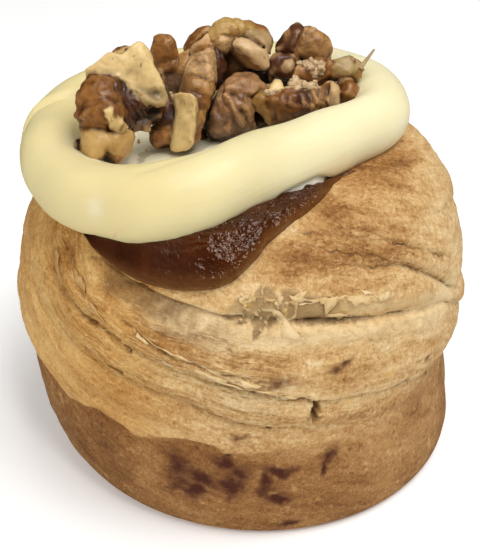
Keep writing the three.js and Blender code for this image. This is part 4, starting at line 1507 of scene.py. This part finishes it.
# A part in its place: its middle, half its depth, how square it is, how far it leans sideways and upwards
# with the solid, its finish, its ridges and its outline across and up, in order round the middle
def placed_part(node, row):
    close_up, middle, half_depth, square, proud, finish, ridges, outline = row
    left, top, larger = CLOSE_UPS[close_up]
    places = np.array([middle, *outline]) / larger + (left, top)
    offsets = places[1:] - places[0]
    depths, hits = seen_depths(node, np.vstack([places[:1], places[0] + LEAN_SAMPLE * offsets]))
    offsets = offsets * (1, -1) * depths[0] / FOCAL_PIXELS
    nearer = depths[0] - depths[1:]
    known = hits[1:] & (np.abs(nearer) < LEAN_STEP)
    lean = np.zeros(2)
    if known.sum() >= LEAN_FEWEST:
        lean = np.linalg.lstsq(LEAN_SAMPLE * offsets[known], nearer[known], rcond=None)[0]
    sight = line_of_sight(in_view(places[0]))
    place = CAMERA_PLACE / MM + sight * (depths[0] - proud + PART_SUNK * half_depth)
    turn = np.arctan2(offsets[:, 1], offsets[:, 0])
    lean = np.clip(lean, -LEAN_MOST, LEAN_MOST)
    return place, half_depth, square, lean, finish, ridges, offsets[np.argsort(turn)]


# Adds a part: a ball drawn out to its outline, squared off and leant over
def add_part(body, part):
    middle, half_depth, square, lean, finish, _, outline = part
    corners = bmesh.ops.create_icosphere(body, subdivisions=PART_DETAIL, radius=1)["verts"]
    unit = np.array([corner.co for corner in corners])
    full = (np.hypot(unit[:, 0], unit[:, 1]) ** square + np.abs(unit[:, 2]) ** square) ** (-1 / square)
    swell = FLESH_SWELL if finish in FLESHY else PART_SWELL
    reach = swell * full * outline_reach(outline, unit[:, 0], unit[:, 1])
    across = unit[:, 0] * reach
    up = unit[:, 1] * reach
    out = unit[:, 2] * full * half_depth + lean[0] * across + lean[1] * up
    placed = np.array(middle) + np.outer(across, VIEW_RIGHT) + np.outer(up, VIEW_UP)
    placed = placed + np.outer(out, VIEW_FACING)
    uneven = PART_UNEVEN * stray(placed / 2.2, 430)
    jagged = PART_JAGGED * stray(placed / 0.9, 435)
    for corner, place in zip(corners, (placed + uneven + jagged) * MM):
        corner.co = place


# Where points lie in a part: across, up, and how near its skin, from 0 in its middle to 1 on the skin
def in_part(points, part):
    middle, half_depth, square, lean, _, _, outline = part
    offset = points - np.array(middle)
    across = offset @ VIEW_RIGHT
    up = offset @ VIEW_UP
    out = offset @ VIEW_FACING - lean[0] * across - lean[1] * up
    level = np.hypot(across, up) / outline_reach(outline, across, up)
    near = (level**square + np.abs(out / half_depth) ** square) ** (1 / square)
    return across, up, near


# The parts of a walnut and the core of its solid, grown together into one skin
def fused_piece(name, node, parts):
    body = bmesh.new()
    body.from_mesh(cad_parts[node].data)
    bmesh.ops.remove_doubles(body, verts=body.verts, dist=CORE_MERGE)
    low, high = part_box(node)
    from_middle = Matrix.Translation(-(low + high) / 2)
    bmesh.ops.scale(body, verts=body.verts, vec=Vector((1, 1, 1)) * CORE_SHARE, space=from_middle)
    for part in parts:
        add_part(body, part)
    mesh = new_mesh(name, body)
    piece = new_object(name, mesh)
    fuse = piece.modifiers.new("fuse", "REMESH")
    fuse.mode = "VOXEL"
    fuse.voxel_size = VOXEL
    soften = piece.modifiers.new("soften", "SMOOTH")
    soften.factor = SOFTEN_SHARE
    soften.iterations = SOFTEN_ROUNDS
    smooth = finished_mesh(piece)
    piece.modifiers.clear()
    piece.data = smooth
    bpy.data.meshes.remove(mesh)
    return piece


# Each vertex's value, drawn towards those of its neighbours a number of times
def neighbour_mean(mesh, values, rounds):
    ends = np.zeros(len(mesh.edges) * 2, dtype=np.int32)
    mesh.edges.foreach_get("vertices", ends)
    first, second = ends.reshape(-1, 2).T
    count = len(values)
    joined = np.bincount(first, minlength=count) + np.bincount(second, minlength=count)
    for _ in range(rounds):
        columns = []
        for column in values.T:
            total = np.bincount(first, column[second], count) + np.bincount(second, column[first], count)
            columns.append(total / joined)
        values = np.stack(columns, axis=-1)
    return values


FINISH_STRAY = 0.42
FINISH_FRAYED = 0.25
# The relief of skin and of bare flesh
SKIN_CREASE = 0.16
SKIN_ROUGH = 0.09
GROOVE_DEPTH = 0.42
FLESH_ROUGH = 0.12
FLESH_FINE = 0.07
CRUMBLY_RELIEF = 0.5
CRUMBLY_SUNK = 0.15
# How the bends of the skin are found, by which painted shade goes into its valleys and painted highlight onto
# its ridges
BEND_ROUNDS = 26
BEND_FULL = 0.32
# Crumbs lie below this height, where the flesh is at least so crumbly
CRUMBS_BELOW = 78
CRUMBS_FROM = 0.6


# Ridges across a part, in a direction and at a spacing, that wander and come and go
def ridge_lines(points, across, up, ridges, seed):
    direction, spacing = ridges
    turn = direction * RADIAN
    wandering = 0.5 * noise(points / 2.4, seed)
    place = (across * np.cos(turn) + up * np.sin(turn)) / spacing + wandering
    valley = hump(place - np.floor(place), 0.5, 0.2)
    return valley * np.clip(0.6 + noise(points / 2, seed + 1), 0, 1)


def tone_light(label):
    return np.array(linear(*TONES[label])[:3])


# The tone at points on a walnut, and how fleshy, crumbly and grooved it is there, each from the nearest parts
def part_fields(points, parts):
    moved = points + FINISH_STRAY * stray(points / 2.1, 400) + FINISH_FRAYED * stray(points / 0.8, 410)
    tone = np.zeros((len(points), 3))
    total, flesh, crumbly, grooves = np.zeros((4, len(points)))
    nearest = np.full(len(points), np.inf)
    for order, part in enumerate(parts):
        *_, finish, ridges, _ = part
        across, up, near = in_part(moved, part)
        nearest = np.minimum(nearest, near)
        share = np.exp(-PART_CONTRAST * np.minimum(near, 2))
        total += share
        tone += share[:, None] * tone_light(finish)
        flesh += share * (finish in FLESHY)
        crumbly += share * CRUMBLY.get(finish, 0)
        if ridges:
            grooves += share * ridge_lines(points, across, up, ridges, 420 + order)
    hidden = smoothstep(nearest, 1.3, 1.9)
    tone = lerp(tone / total[:, None], tone_light("skin"), hidden[:, None])
    return tone, flesh / total, crumbly / total, grooves / total


def skin_relief(points, creases, grooves, number):
    grain = SKIN_ROUGH * rough(points / 1.1, 460 + number)
    return SKIN_CREASE * creases + grain - GROOVE_DEPTH * grooves


def flesh_relief(points, crumbly, number):
    grain = FLESH_ROUGH * rough(points / 1.6, 480 + number)
    grain = grain + FLESH_FINE * rough(points / 0.6, 490 + number, 2)
    return grain + crumbly * (CRUMBLY_RELIEF * crests(points / 1.3, 470 + number) - CRUMBLY_SUNK)


# One walnut, and the places on it where crumbs may lie, with the way out from each
def walnut_piece(node, number):
    parts = [placed_part(node, row) for row in KERNELS[node]]
    piece = fused_piece("kernel_" + str(number), node, parts)
    mesh = piece.data
    points = vertex_array(mesh) / MM
    normals = vertex_array(mesh, "normal")
    tone, flesh, crumbly, grooves = part_fields(points, parts)
    bend = ((neighbour_mean(mesh, points, BEND_ROUNDS) - points) * normals).sum(axis=1) / BEND_FULL
    creases = crests(points / 2.6, 440 + number)
    relief = lerp(skin_relief(points, creases, grooves, number), flesh_relief(points, crumbly, number), flesh)
    hollow = np.zeros(len(points))
    for middle, radius, depth in HOLLOWS.get(node, []):
        dent = hump(np.linalg.norm(points - middle, axis=1), 0, radius)
        relief -= depth * dent
        hollow = np.maximum(hollow, dent)
    points = points + normals * relief[:, None]
    set_vertices(mesh, points * MM)
    # Painted shade in concave bends, grooves and hollows, together with the skin's own darker creases
    valley = np.clip(0.05 - 0.35 * creases + 0.9 * grooves, 0, 1) * (1 - flesh)
    valley = np.clip(valley + np.clip(bend, 0, 1) + 0.4 * hollow, 0, 1)
    # Painted highlight on the skin's convex bends
    ridge_highlight = smoothstep(-bend, 0.45, 1.3)
    border = 4 * flesh * (1 - flesh)
    paint(mesh, {"tone": tone, "flesh": flesh, "border": border, "ridge_highlight": ridge_highlight, "valley": valley})
    mesh.shade_smooth()
    loose = (crumbly > CRUMBS_FROM) & (points[:, 2] < CRUMBS_BELOW)
    return piece, points[loose], normals[loose]


OPEN_SIDES = [(0, 0, 1), (0, -1, 1), (0, 1, 1), (-1, 0, 1), (1, 0, 1)]
NOOK_CELL = 0.5
NOOK_CELLS = 5
NOOK_DEPTH = 2.4


# How deep points lie below what surrounds them, from the side on which each is most open: the share of
# painted shade in nooks
def nook_shares(points):
    nook_shade = np.ones(len(points))
    near = range(-NOOK_CELLS, NOOK_CELLS + 1)
    shifts = [(across, along) for across in near for along in near if np.hypot(across, along) <= NOOK_CELLS]
    for side in OPEN_SIDES:
        upright = Vector(side).rotation_difference(Vector((0, 0, 1))).to_matrix()
        turned = points @ np.array(upright).T
        cells = np.floor(turned[:, :2] / NOOK_CELL).astype(int)
        cells += NOOK_CELLS - cells.min(axis=0)
        columns, rows = cells.T
        tops = np.full(cells.max(axis=0) + NOOK_CELLS + 1, -np.inf)
        np.maximum.at(tops, (columns, rows), turned[:, 2])
        filled = np.isfinite(tops)
        tops = np.where(filled, tops, 0)
        total = np.zeros(tops.shape)
        count = np.zeros(tops.shape)
        for shift in shifts:
            total += np.roll(tops, shift, (0, 1))
            count += np.roll(filled, shift, (0, 1))
        around = (total / np.maximum(count, 1))[columns, rows]
        nook_shade = np.minimum(nook_shade, smoothstep((around - turned[:, 2]) / NOOK_DEPTH, 0.15, 1))
    return nook_shade


# Crumbs: small broken grains that lie where the walnuts have crumbled, a few further off, and one splinter
CRUMB_COUNT = 90
CRUMB_SEED = 12
CRUMB_LIFT = 0.25
CRUMB_CORNERS = 12
FAR_CRUMBS = [((-20.6, -32.9, 61.6), 0.42), ((-19.2, 0.4, 62.5), 0.5), ((-17.6, -3, 62.4), 0.35)]
SPLINTER_FROM = Vector((22.6, 5.6, 75.2)) * MM
SPLINTER_TO = Vector((25, 5.8, 78.8)) * MM
SPLINTER_FOOT = 0.5 * MM
SPLINTER_TIP = 0.22 * MM
SPLINTER_SIDES = 8
SPLINTER_SHADE = 0.8


def add_splinter(body):
    way = SPLINTER_TO - SPLINTER_FROM
    middle = Matrix.Translation((SPLINTER_FROM + SPLINTER_TO) / 2)
    bmesh.ops.create_cone(
        body, cap_ends=True, segments=SPLINTER_SIDES, radius1=SPLINTER_FOOT, radius2=SPLINTER_TIP,
        depth=way.length, matrix=middle @ way.to_track_quat("Z", "Y").to_matrix().to_4x4(),
    )


def crumb_piece(places, normals):
    draw = np.random.default_rng(CRUMB_SEED)
    picked = draw.integers(0, len(places), CRUMB_COUNT)
    size = np.clip(draw.lognormal(-1.0, 0.45, CRUMB_COUNT), 0.15, 0.9)
    middles = places[picked] + normals[picked] * (CRUMB_LIFT * size)[:, None]
    grains = [(middle, reach) for middle, reach in zip(middles, size)]
    grains += [(np.array(middle), reach) for middle, reach in FAR_CRUMBS]
    body = bmesh.new()
    for middle, reach in grains:
        corners = bmesh.ops.create_icosphere(body, subdivisions=1, radius=1)["verts"]
        stretch = draw.uniform(0.6, 1.3, 3)
        for corner in corners:
            jagged = np.array(corner.co) * stretch * draw.uniform(0.7, 1.25)
            corner.co = (middle + reach * jagged) * MM
    add_splinter(body)
    mesh = new_mesh("walnut_crumbs", body)
    count = len(mesh.vertices)
    shade = np.repeat(draw.uniform(0.75, 1.1, len(grains)), CRUMB_CORNERS)
    shade = np.concatenate([shade, np.full(count - len(shade), SPLINTER_SHADE)])
    set_values(mesh, "tone", shade[:, None] * tone_light("crumb"))
    set_values(mesh, "flesh", np.ones(count))
    for label in ("border", "ridge_highlight", "valley", "nook_shade"):
        set_values(mesh, label, np.zeros(count))
    return new_object("walnut_crumbs", mesh)


# Materials

class Finish:
    def __init__(self, name):
        self.material = bpy.data.materials.new(name)
        self.material.use_nodes = True
        self.nodes = self.material.node_tree.nodes
        self.links = self.material.node_tree.links
        self.shader = self.nodes["Principled BSDF"]
        self.where = self.nodes.new("ShaderNodeTexCoord").outputs["Object"]

    def put(self, value, socket):
        if isinstance(value, bpy.types.NodeSocket):
            self.links.new(value, socket)
        else:
            socket.default_value = value

    # Sets a node's inputs by their names
    def fill(self, node, **settings):
        for name, value in settings.items():
            self.put(value, node.inputs[name.replace("_", " ")])

    def painted(self, name, output="Fac"):
        node = self.nodes.new("ShaderNodeAttribute")
        node.attribute_name = name
        return node.outputs[output]

    def noise(self, scale, detail=3, roughness=0.55, distortion=0.0, where=None):
        node = self.nodes.new("ShaderNodeTexNoise")
        self.fill(node, Vector=where or self.where, Scale=scale, Detail=detail)
        self.fill(node, Roughness=roughness, Distortion=distortion)
        return node.outputs["Fac"]

    # Noise drawn out along the strips of dough, or another painted place
    def fibres(self, along, across, detail=3, roughness=0.55, strip="strip"):
        scale = self.nodes.new("ShaderNodeMapping")
        self.fill(scale, Scale=(1 / along, 1 / along, 1 / across), Vector=self.painted(strip, "Vector"))
        return self.noise(1, detail, roughness, 0.0, scale.outputs["Vector"])

    def maths(self, operation, first, second=0.0, third=0.0):
        node = self.nodes.new("ShaderNodeMath")
        node.operation = operation
        for index, value in enumerate((first, second, third)):
            self.put(value, node.inputs[index])
        return node.outputs[0]

    def times(self, first, second):
        return self.maths("MULTIPLY", first, second)

    def larger(self, first, second):
        return self.maths("MAXIMUM", first, second)

    # Adds an amount of a value to a total
    def add(self, value, amount, total):
        return self.maths("MULTIPLY_ADD", value, amount, total)

    # Noise, moved so that its middle is 0
    def centred(self, value):
        return self.maths("SUBTRACT", value, 0.5)

    def spread(self, value, low, high, to_low=0.0, to_high=1.0):
        node = self.nodes.new("ShaderNodeMapRange")
        node.interpolation_type = "SMOOTHSTEP"
        self.fill(node, Value=value, From_Min=low, From_Max=high, To_Min=to_low, To_Max=to_high)
        return node.outputs["Result"]

    def ramp(self, value, stops):
        node = self.nodes.new("ShaderNodeValToRGB")
        elements = node.color_ramp.elements
        while len(elements) < len(stops):
            elements.new(0.5)
        for element, (place, tone) in zip(elements, stops):
            element.position = place
            element.color = linear(*tone)
        self.put(value, node.inputs["Fac"])
        return node.outputs["Color"]

    def mix(self, share, first, second, blend="MIX"):
        node = self.nodes.new("ShaderNodeMix")
        node.data_type = "RGBA"
        node.blend_type = blend
        self.put(share, node.inputs["Factor"])
        self.put(first, node.inputs[6])
        self.put(second, node.inputs[7])
        return node.outputs[2]

    # Draws a colour towards a tone by a share, of which an amount counts
    def tint(self, colour, tone, share, amount):
        return self.mix(self.times(share, amount), colour, linear(*tone))

    def bump(self, height, strength, distance, under=None):
        node = self.nodes.new("ShaderNodeBump")
        self.fill(node, Strength=strength, Distance=distance, Height=height)
        if under:
            self.fill(node, Normal=under)
        return node.outputs["Normal"]

    def surface(self, **sockets):
        self.fill(self.shader, **sockets)


# Baked crust
FLECK_EDGE = (0.58, 0.7)
CRUST_TONES = [
    (0.0, (228, 200, 152)), (0.25, (209, 171, 116)), (0.5, (182, 137, 83)), (0.75, (145, 99, 51)),
    (1.0, (108, 66, 31)),
]


def baked_colour(finish, mottle, fine, jag, fibres):
    wall = finish.painted("wall")
    golden = finish.painted("golden")
    dark_fleck = finish.spread(finish.noise(640, 3, 0.6), *FLECK_EDGE)
    pale_fleck = finish.spread(finish.noise(520, 3, 0.6, 0.4), *FLECK_EDGE)
    speckled = finish.spread(finish.larger(wall, golden), 0, 1, 0.95, 0.5)
    streaks = finish.centred(finish.fibres(9, 1.5, 5, 0.62))
    streaked = finish.times(finish.painted("wound"), finish.spread(wall, 0, 1, 0.6, 0.4))
    # the tone starts from the painted browning, shade and light
    tone = finish.maths("ADD", finish.painted("bake"), 0.3)
    for value, browner in (
        (finish.centred(finish.painted("proud")), 0.25), (finish.centred(mottle), 0.35),
        (finish.centred(finish.noise(50, 3)), 0.35), (jag, speckled), (finish.centred(fine), 0.5),
        (dark_fleck, 0.16), (pale_fleck, -0.16), (fibres, 0.75), (streaks, streaked),
        (finish.painted("layers"), -0.12), (wall, 0.41),
    ):
        tone = finish.add(value, browner, tone)
    crust = finish.ramp(tone, CRUST_TONES)
    return finish.mix(finish.times(golden, 0.8), crust, linear(255, 238, 196), "MULTIPLY")


# Bare dough, where the crust has torn
FIBROUS_TONES = [(0.3, (146, 114, 80)), (0.5, (196, 164, 120)), (0.7, (230, 206, 160))]
PALE_LIP_TONES = [(0.3, (196, 162, 112)), (0.5, (224, 194, 144)), (0.7, (238, 212, 166))]
TORN_TONES = [(0.3, (176, 143, 94)), (0.5, (205, 173, 121)), (0.7, (226, 200, 149))]
HOLLOW_TONES = [(0.3, (166, 132, 86)), (0.7, (204, 172, 122))]


def torn_colour(finish, colour, mottle, crumb, jag):
    fibrous = finish.times(finish.painted("fibrous"), 0.7)
    colour = finish.mix(fibrous, colour, finish.ramp(crumb, FIBROUS_TONES))
    # painted shade on the concave pleats below the crevice on the left
    shaded = finish.spread(crumb, 0.3, 0.7, 0.75, 0.35)
    colour = finish.tint(colour, (122, 94, 60), finish.painted("dusky_shade"), shaded)
    pale_lip = finish.times(finish.painted("lower_lip"), 0.65)
    colour = finish.mix(pale_lip, colour, finish.ramp(crumb, PALE_LIP_TONES))
    inside = finish.spread(finish.add(jag, 1.8, finish.painted("torn")), -0.7, 1.1)
    colour = finish.mix(inside, colour, finish.ramp(finish.noise(330, 4, 0.6), TORN_TONES))
    colour = finish.tint(colour, (230, 205, 156), finish.painted("web"), 0.75)
    # painted shade in the web's hollows
    sunken = finish.times(finish.painted("hollow"), 0.8)
    colour = finish.mix(sunken, colour, finish.ramp(mottle, HOLLOW_TONES))
    return finish.tint(colour, (98, 70, 40), finish.painted("web_shade"), 0.8)


# Spots of caramel and butter, and short dark and pale dashes along the layers
def spotted_colour(finish, colour, jag, wound):
    blotch = finish.times(finish.centred(finish.noise(300, 4, 0.65)), 2.4)
    caramel = finish.maths("ADD", blotch, finish.painted("caramel"))
    colour = finish.tint(colour, (106, 58, 30), finish.spread(caramel, -1.1, 0.3), 0.55)
    colour = finish.tint(colour, (76, 32, 20), finish.spread(caramel, -0.4, 0.7), 0.92)
    butter = finish.spread(finish.add(jag, 2.0, finish.painted("butter")), 0.0, 0.7)
    colour = finish.tint(colour, (222, 178, 92), butter, 0.5)
    shown = finish.times(wound, 0.5)
    dashes = finish.spread(finish.fibres(2.4, 0.32, 2, 0.5), 0.6, 0.7)
    colour = finish.tint(colour, (122, 80, 42), dashes, shown)
    slivers = finish.spread(finish.fibres(2.9, 0.27, 2, 0.55), 0.62, 0.7)
    return finish.tint(colour, (236, 208, 160), slivers, shown)


# Dark lines: cracks, the crevice of the torn seam, the hole and open gaps, all painted shade, with browned
# edges along the cracks
def dark_lines(finish, jag):
    closed = finish.painted("closed")
    broken = finish.spread(finish.noise(300, 3, 0.6), 0.44, 0.56, 0.3, 1)
    gap = finish.maths("ABSOLUTE", finish.add(jag, 1.0, finish.painted("gap")))
    line = finish.times(finish.spread(gap, 0.08, 0.34, 1, 0), finish.painted("crack"))
    crevice = finish.maths("ABSOLUTE", finish.add(jag, 0.6, finish.painted("above")))
    crevice = finish.times(finish.spread(crevice, 0.12, 0.5, 1, 0), closed)
    crevice = finish.times(crevice, finish.larger(broken, finish.spread(closed, 0.8, 0.95)))
    return finish.larger(finish.larger(finish.times(line, broken), crevice), finish.painted("hole"))


def crust_material():
    finish = Finish("baked_crust")
    mottle = finish.noise(170, 5, 0.6)
    speck = finish.noise(1150, 4, 0.7)
    fine = finish.noise(2600, 2, 0.6)
    crumb = finish.noise(430, 4, 0.68)
    jag = finish.centred(speck)
    wound = finish.times(finish.painted("wound"), finish.painted("layered"))
    fibres = finish.times(finish.centred(finish.fibres(4.4, 0.5, 4, 0.6)), wound)
    dark = dark_lines(finish, jag)
    colour = baked_colour(finish, mottle, fine, jag, fibres)
    colour = torn_colour(finish, colour, mottle, crumb, jag)
    colour = spotted_colour(finish, colour, jag, wound)
    # painted shade in the dark lines
    colour = finish.tint(colour, (92, 60, 32), dark, 0.7)
    relief = finish.add(fibres, 1.2, finish.times(mottle, 0.6))
    relief = finish.add(dark, -0.6, relief)
    bare = finish.larger(finish.painted("fibrous"), finish.painted("lower_lip"))
    relief = finish.add(crumb, finish.times(bare, 1.1), relief)
    grain = finish.bump(finish.add(fine, 0.4, speck), 0.6, 0.0005)
    normal = finish.bump(relief, 0.6, 0.0009, grain)
    finish.surface(Base_Color=colour, Roughness=0.72, Normal=normal, Specular_IOR_Level=0.22)
    return finish.material


FLAKE_TONES = [(0.0, (222, 196, 148)), (0.5, (206, 170, 114)), (1.0, (186, 140, 78))]


def flake_material():
    finish = Finish("thin_flakes")
    tone = finish.add(finish.centred(finish.noise(900, 3)), 0.9, finish.painted("bake"))
    colour = finish.ramp(tone, FLAKE_TONES)
    finish.surface(Base_Color=colour, Roughness=0.6, Specular_IOR_Level=0.25)
    return finish.material


# Painted light and shade on the icing: a yellower, darker tone for its left side and a paler one for its
# right
ICING_SHADED_YELLOW = [(0.3, (220, 203, 146)), (0.7, (228, 213, 159))]
ICING_LIT_PALE = [(0.3, (231, 220, 174)), (0.7, (239, 230, 190))]


def icing_material():
    finish = Finish("pale_icing")
    broad = finish.noise(40, 2)
    dish = finish.painted("dish")
    # painted light: paler to the right, yellower and darker to the left
    yellow = finish.ramp(broad, ICING_SHADED_YELLOW)
    colour = finish.mix(finish.painted("light"), yellow, finish.ramp(broad, ICING_LIT_PALE))
    # whiter dish: partly whiter icing, partly painted light against the walnuts' shade
    colour = finish.tint(colour, (243, 237, 214), dish, 0.7)
    pale = finish.larger(finish.painted("flange"), finish.painted("scuff"))
    colour = finish.mix(pale, colour, linear(242, 236, 216))
    # painted shade on the dish floor in the nooks beside the walnuts
    colour = finish.tint(colour, (112, 78, 48), finish.spread(finish.painted("nook_shade"), 0.5, 1, 0, 0.45), dish)
    drawn = finish.fibres(9, 0.7, 3, 0.55, "rope")
    colour = finish.mix(finish.spread(drawn, 0.45, 0.75, 0, 0.16), colour, linear(222, 206, 150))
    uneven = finish.bump(drawn, 0.1, 0.0005, finish.bump(finish.noise(220, 3), 0.14, 0.0006))
    normal = finish.bump(finish.noise(70, 2), 0.2, 0.002, uneven)
    finish.surface(
        Base_Color=colour, Roughness=0.4, Normal=normal, Specular_IOR_Level=0.35, Subsurface_Weight=0.35,
        Subsurface_Radius=(1.0, 0.8, 0.4), Subsurface_Scale=0.0022,
    )
    return finish.material


SAUCE_TONES = [(0.3, (50, 19, 4)), (0.7, (74, 32, 8))]


def sauce_material():
    finish = Finish("dark_sauce")
    grainy = finish.painted("grainy")
    colour = finish.ramp(finish.noise(180, 4), SAUCE_TONES)
    colour = finish.mix(finish.painted("thin"), colour, linear(102, 60, 26))
    grains = finish.times(finish.noise(720, 2, 0.6), finish.spread(grainy, 0, 1, 0.4, 1))
    finish.surface(
        Base_Color=colour, Roughness=finish.spread(grainy, 0, 1, 0.34, 0.14),
        Normal=finish.bump(grains, 0.8, 0.001), Specular_IOR_Level=0.5, Specular_Tint=(1, 0.84, 0.7, 1),
    )
    return finish.material


VEIN_TONES = [(0.28, (132, 110, 92)), (0.5, (230, 224, 216)), (0.72, (255, 255, 250))]


def walnut_material():
    finish = Finish("walnut_kernel")
    flesh = finish.painted("flesh")
    veins = finish.noise(420, 4, 0.62, 0.8)
    veined = finish.spread(flesh, 0, 1, 0.8, 0.3)
    colour = finish.mix(veined, finish.painted("tone", "Color"), finish.ramp(veins, VEIN_TONES), "MULTIPLY")
    # painted highlight on the skin's convex ridges, faint on the flesh
    lit = finish.spread(flesh, 0, 1, 0.75, 0.1)
    colour = finish.tint(colour, (200, 158, 108), finish.painted("ridge_highlight"), lit)
    patch = finish.spread(finish.noise(160, 3), 0.46, 0.7)
    patch = finish.times(patch, finish.spread(flesh, 0, 1, 0.45, 0.3))
    colour = finish.mix(patch, colour, finish.mix(flesh, linear(104, 64, 32), linear(164, 118, 64)))
    border = finish.times(finish.painted("border"), finish.spread(veins, 0.35, 0.6))
    colour = finish.tint(colour, (112, 64, 26), border, 0.6)
    # painted shade in the valleys, with the skin's own darker creases
    colour = finish.tint(colour, (52, 24, 10), finish.painted("valley"), 0.85)
    crease = finish.maths("ABSOLUTE", finish.centred(finish.noise(240, 3, 0.55, 1.2)))
    crease = finish.spread(crease, 0.004, 0.03, 0.4, 0)
    colour = finish.tint(colour, (58, 28, 12), crease, finish.spread(flesh, 0, 0.6, 1, 0))
    # painted shade in the nooks between the walnuts
    colour = finish.tint(colour, (38, 17, 8), finish.painted("nook_shade"), 0.85)
    specks = finish.times(finish.spread(finish.noise(1000, 2), 0.64, 0.72), flesh)
    colour = finish.tint(colour, (126, 78, 34), specks, 0.6)
    gloss = finish.spread(finish.noise(500, 2), 0.35, 0.65, 0.28, 0.52)
    finish.surface(
        Base_Color=colour, Roughness=gloss, Normal=finish.bump(veins, 0.35, 0.0005), Specular_IOR_Level=0.4,
        Subsurface_Weight=0.08, Subsurface_Radius=(1.0, 0.45, 0.2), Subsurface_Scale=0.0012,
    )
    return finish.material


# The pieces
pastry = wrapped_body("pastry_coil", PASTRY_COLUMNS, PASTRY_ROWS, pastry_shape)
pastry.data.materials.append(crust_material())
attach(pastry, "root")
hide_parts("pastry")

flakes = flake_piece()
flakes.data.materials.append(flake_material())
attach(flakes, "root")

icing = wrapped_body("icing_ring", ICING_COLUMNS, ICING_UNDER + ICING_TUBE + ICING_FLOOR - 1, icing_shape)
icing.data.materials.append(icing_material())
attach(icing, "root")
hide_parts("icing")

sauce = sauce_piece()
sauce.data.materials.append(sauce_material())
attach(sauce, "root")
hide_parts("sauce")

kernel = walnut_material()
walnuts = []
crumb_places = []
crumb_normals = []
for number, node in enumerate(KERNELS, start=1):
    walnut, loose_places, loose_normals = walnut_piece(node, number)
    crumb_places.append(loose_places)
    crumb_normals.append(loose_normals)
    walnuts.append(walnut)
    walnut.data.materials.append(kernel)
    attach(walnut, "root")
    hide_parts(node)

# Painted shade in the nooks between the walnuts and on the icing's dish beside them
lying = [vertex_array(piece.data) / MM for piece in walnuts + [icing]]
ends = np.cumsum([len(points) for points in lying])[:-1]
for piece, nook_shade in zip(walnuts + [icing], np.split(nook_shares(np.concatenate(lying)), ends)):
    set_values(piece.data, "nook_shade", nook_shade)

crumbs = crumb_piece(np.concatenate(crumb_places), np.concatenate(crumb_normals))
crumbs.data.materials.append(kernel)
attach(crumbs, "root")


# The stage: a pale floor, soft light and the camera, in metres
FLOOR_HALF = 40
FLOOR_HEIGHT = -0.0002
FLOOR_TONES = [(0.3, (251, 251, 250)), (0.7, (253, 253, 252))]
FLOOR_GLOW = (0.3, 1.2, 0.14, 0.62)
WHITE = (1, 1, 1, 1)
SENSOR_HEIGHT = 36
NEAREST_SEEN = 0.01
WORLD_STRENGTH = 0.37
# Each light's name, place, target, size, power, and whether it shows in shiny things
LIGHTS = [
    ("key", (0.25, -0.12, 0.8), (0, 0, 0.04), 0.6, 4.4, True),
    ("fill", (-0.45, -0.45, 0.5), (0, 0, 0.04), 0.5, 1.45, False),
    ("glint", (0.16, -0.42, 0.7), (0, 0, 0.06), 0.14, 1.1, True),
]


def floor_piece():
    sheet = bmesh.new()
    bmesh.ops.create_grid(sheet, x_segments=2, y_segments=2, size=FLOOR_HALF)
    mesh = new_mesh("floor", sheet)
    mesh.transform(Matrix.Translation((0, 0, FLOOR_HEIGHT)))
    finish = Finish("floor_paper")
    reach = finish.nodes.new("ShaderNodeVectorMath")
    reach.operation = "LENGTH"
    finish.put(finish.where, reach.inputs[0])
    finish.surface(
        Base_Color=finish.ramp(finish.noise(3), FLOOR_TONES), Roughness=0.9, Emission_Color=WHITE,
        Emission_Strength=finish.spread(reach.outputs["Value"], *FLOOR_GLOW),
    )
    floor = new_object("floor", mesh)
    floor.data.materials.append(finish.material)
    floor.visible_glossy = False


def soft_light(name, place, target, size, power, shine):
    lamp = bpy.data.lights.new(name, "AREA")
    lamp.shape = "DISK"
    lamp.size = size
    lamp.energy = power
    holder = new_object(name, lamp)
    holder.location = place
    holder.visible_glossy = shine
    holder.rotation_euler = (Vector(target) - Vector(place)).to_track_quat("-Z", "Y").to_euler()


def set_camera():
    lens = bpy.data.cameras.new("camera")
    lens.sensor_fit = "VERTICAL"
    lens.sensor_height = SENSOR_HEIGHT
    lens.lens = FOCAL_PIXELS * lens.sensor_height / IMAGE_HEIGHT
    lens.shift_y = -FRAME_LIFT / IMAGE_HEIGHT
    lens.clip_start = NEAREST_SEEN
    camera = new_object("camera", lens)
    camera.location = CAMERA_PLACE
    camera.rotation_euler = (np.pi / 2 - CAMERA_PITCH, 0, 0)
    bpy.context.scene.camera = camera


def set_world(strength):
    world = bpy.data.worlds.new("studio")
    bpy.context.scene.world = world
    world.use_nodes = True
    background = world.node_tree.nodes["Background"]
    background.inputs["Color"].default_value = WHITE
    background.inputs["Strength"].default_value = strength
    world.cycles_visibility.glossy = False


floor_piece()
set_camera()
set_world(WORLD_STRENGTH)
for light in LIGHTS:
    soft_light(*light)
bpy.context.scene.view_settings.view_transform = "Standard"

bpy.context.view_layer.update()
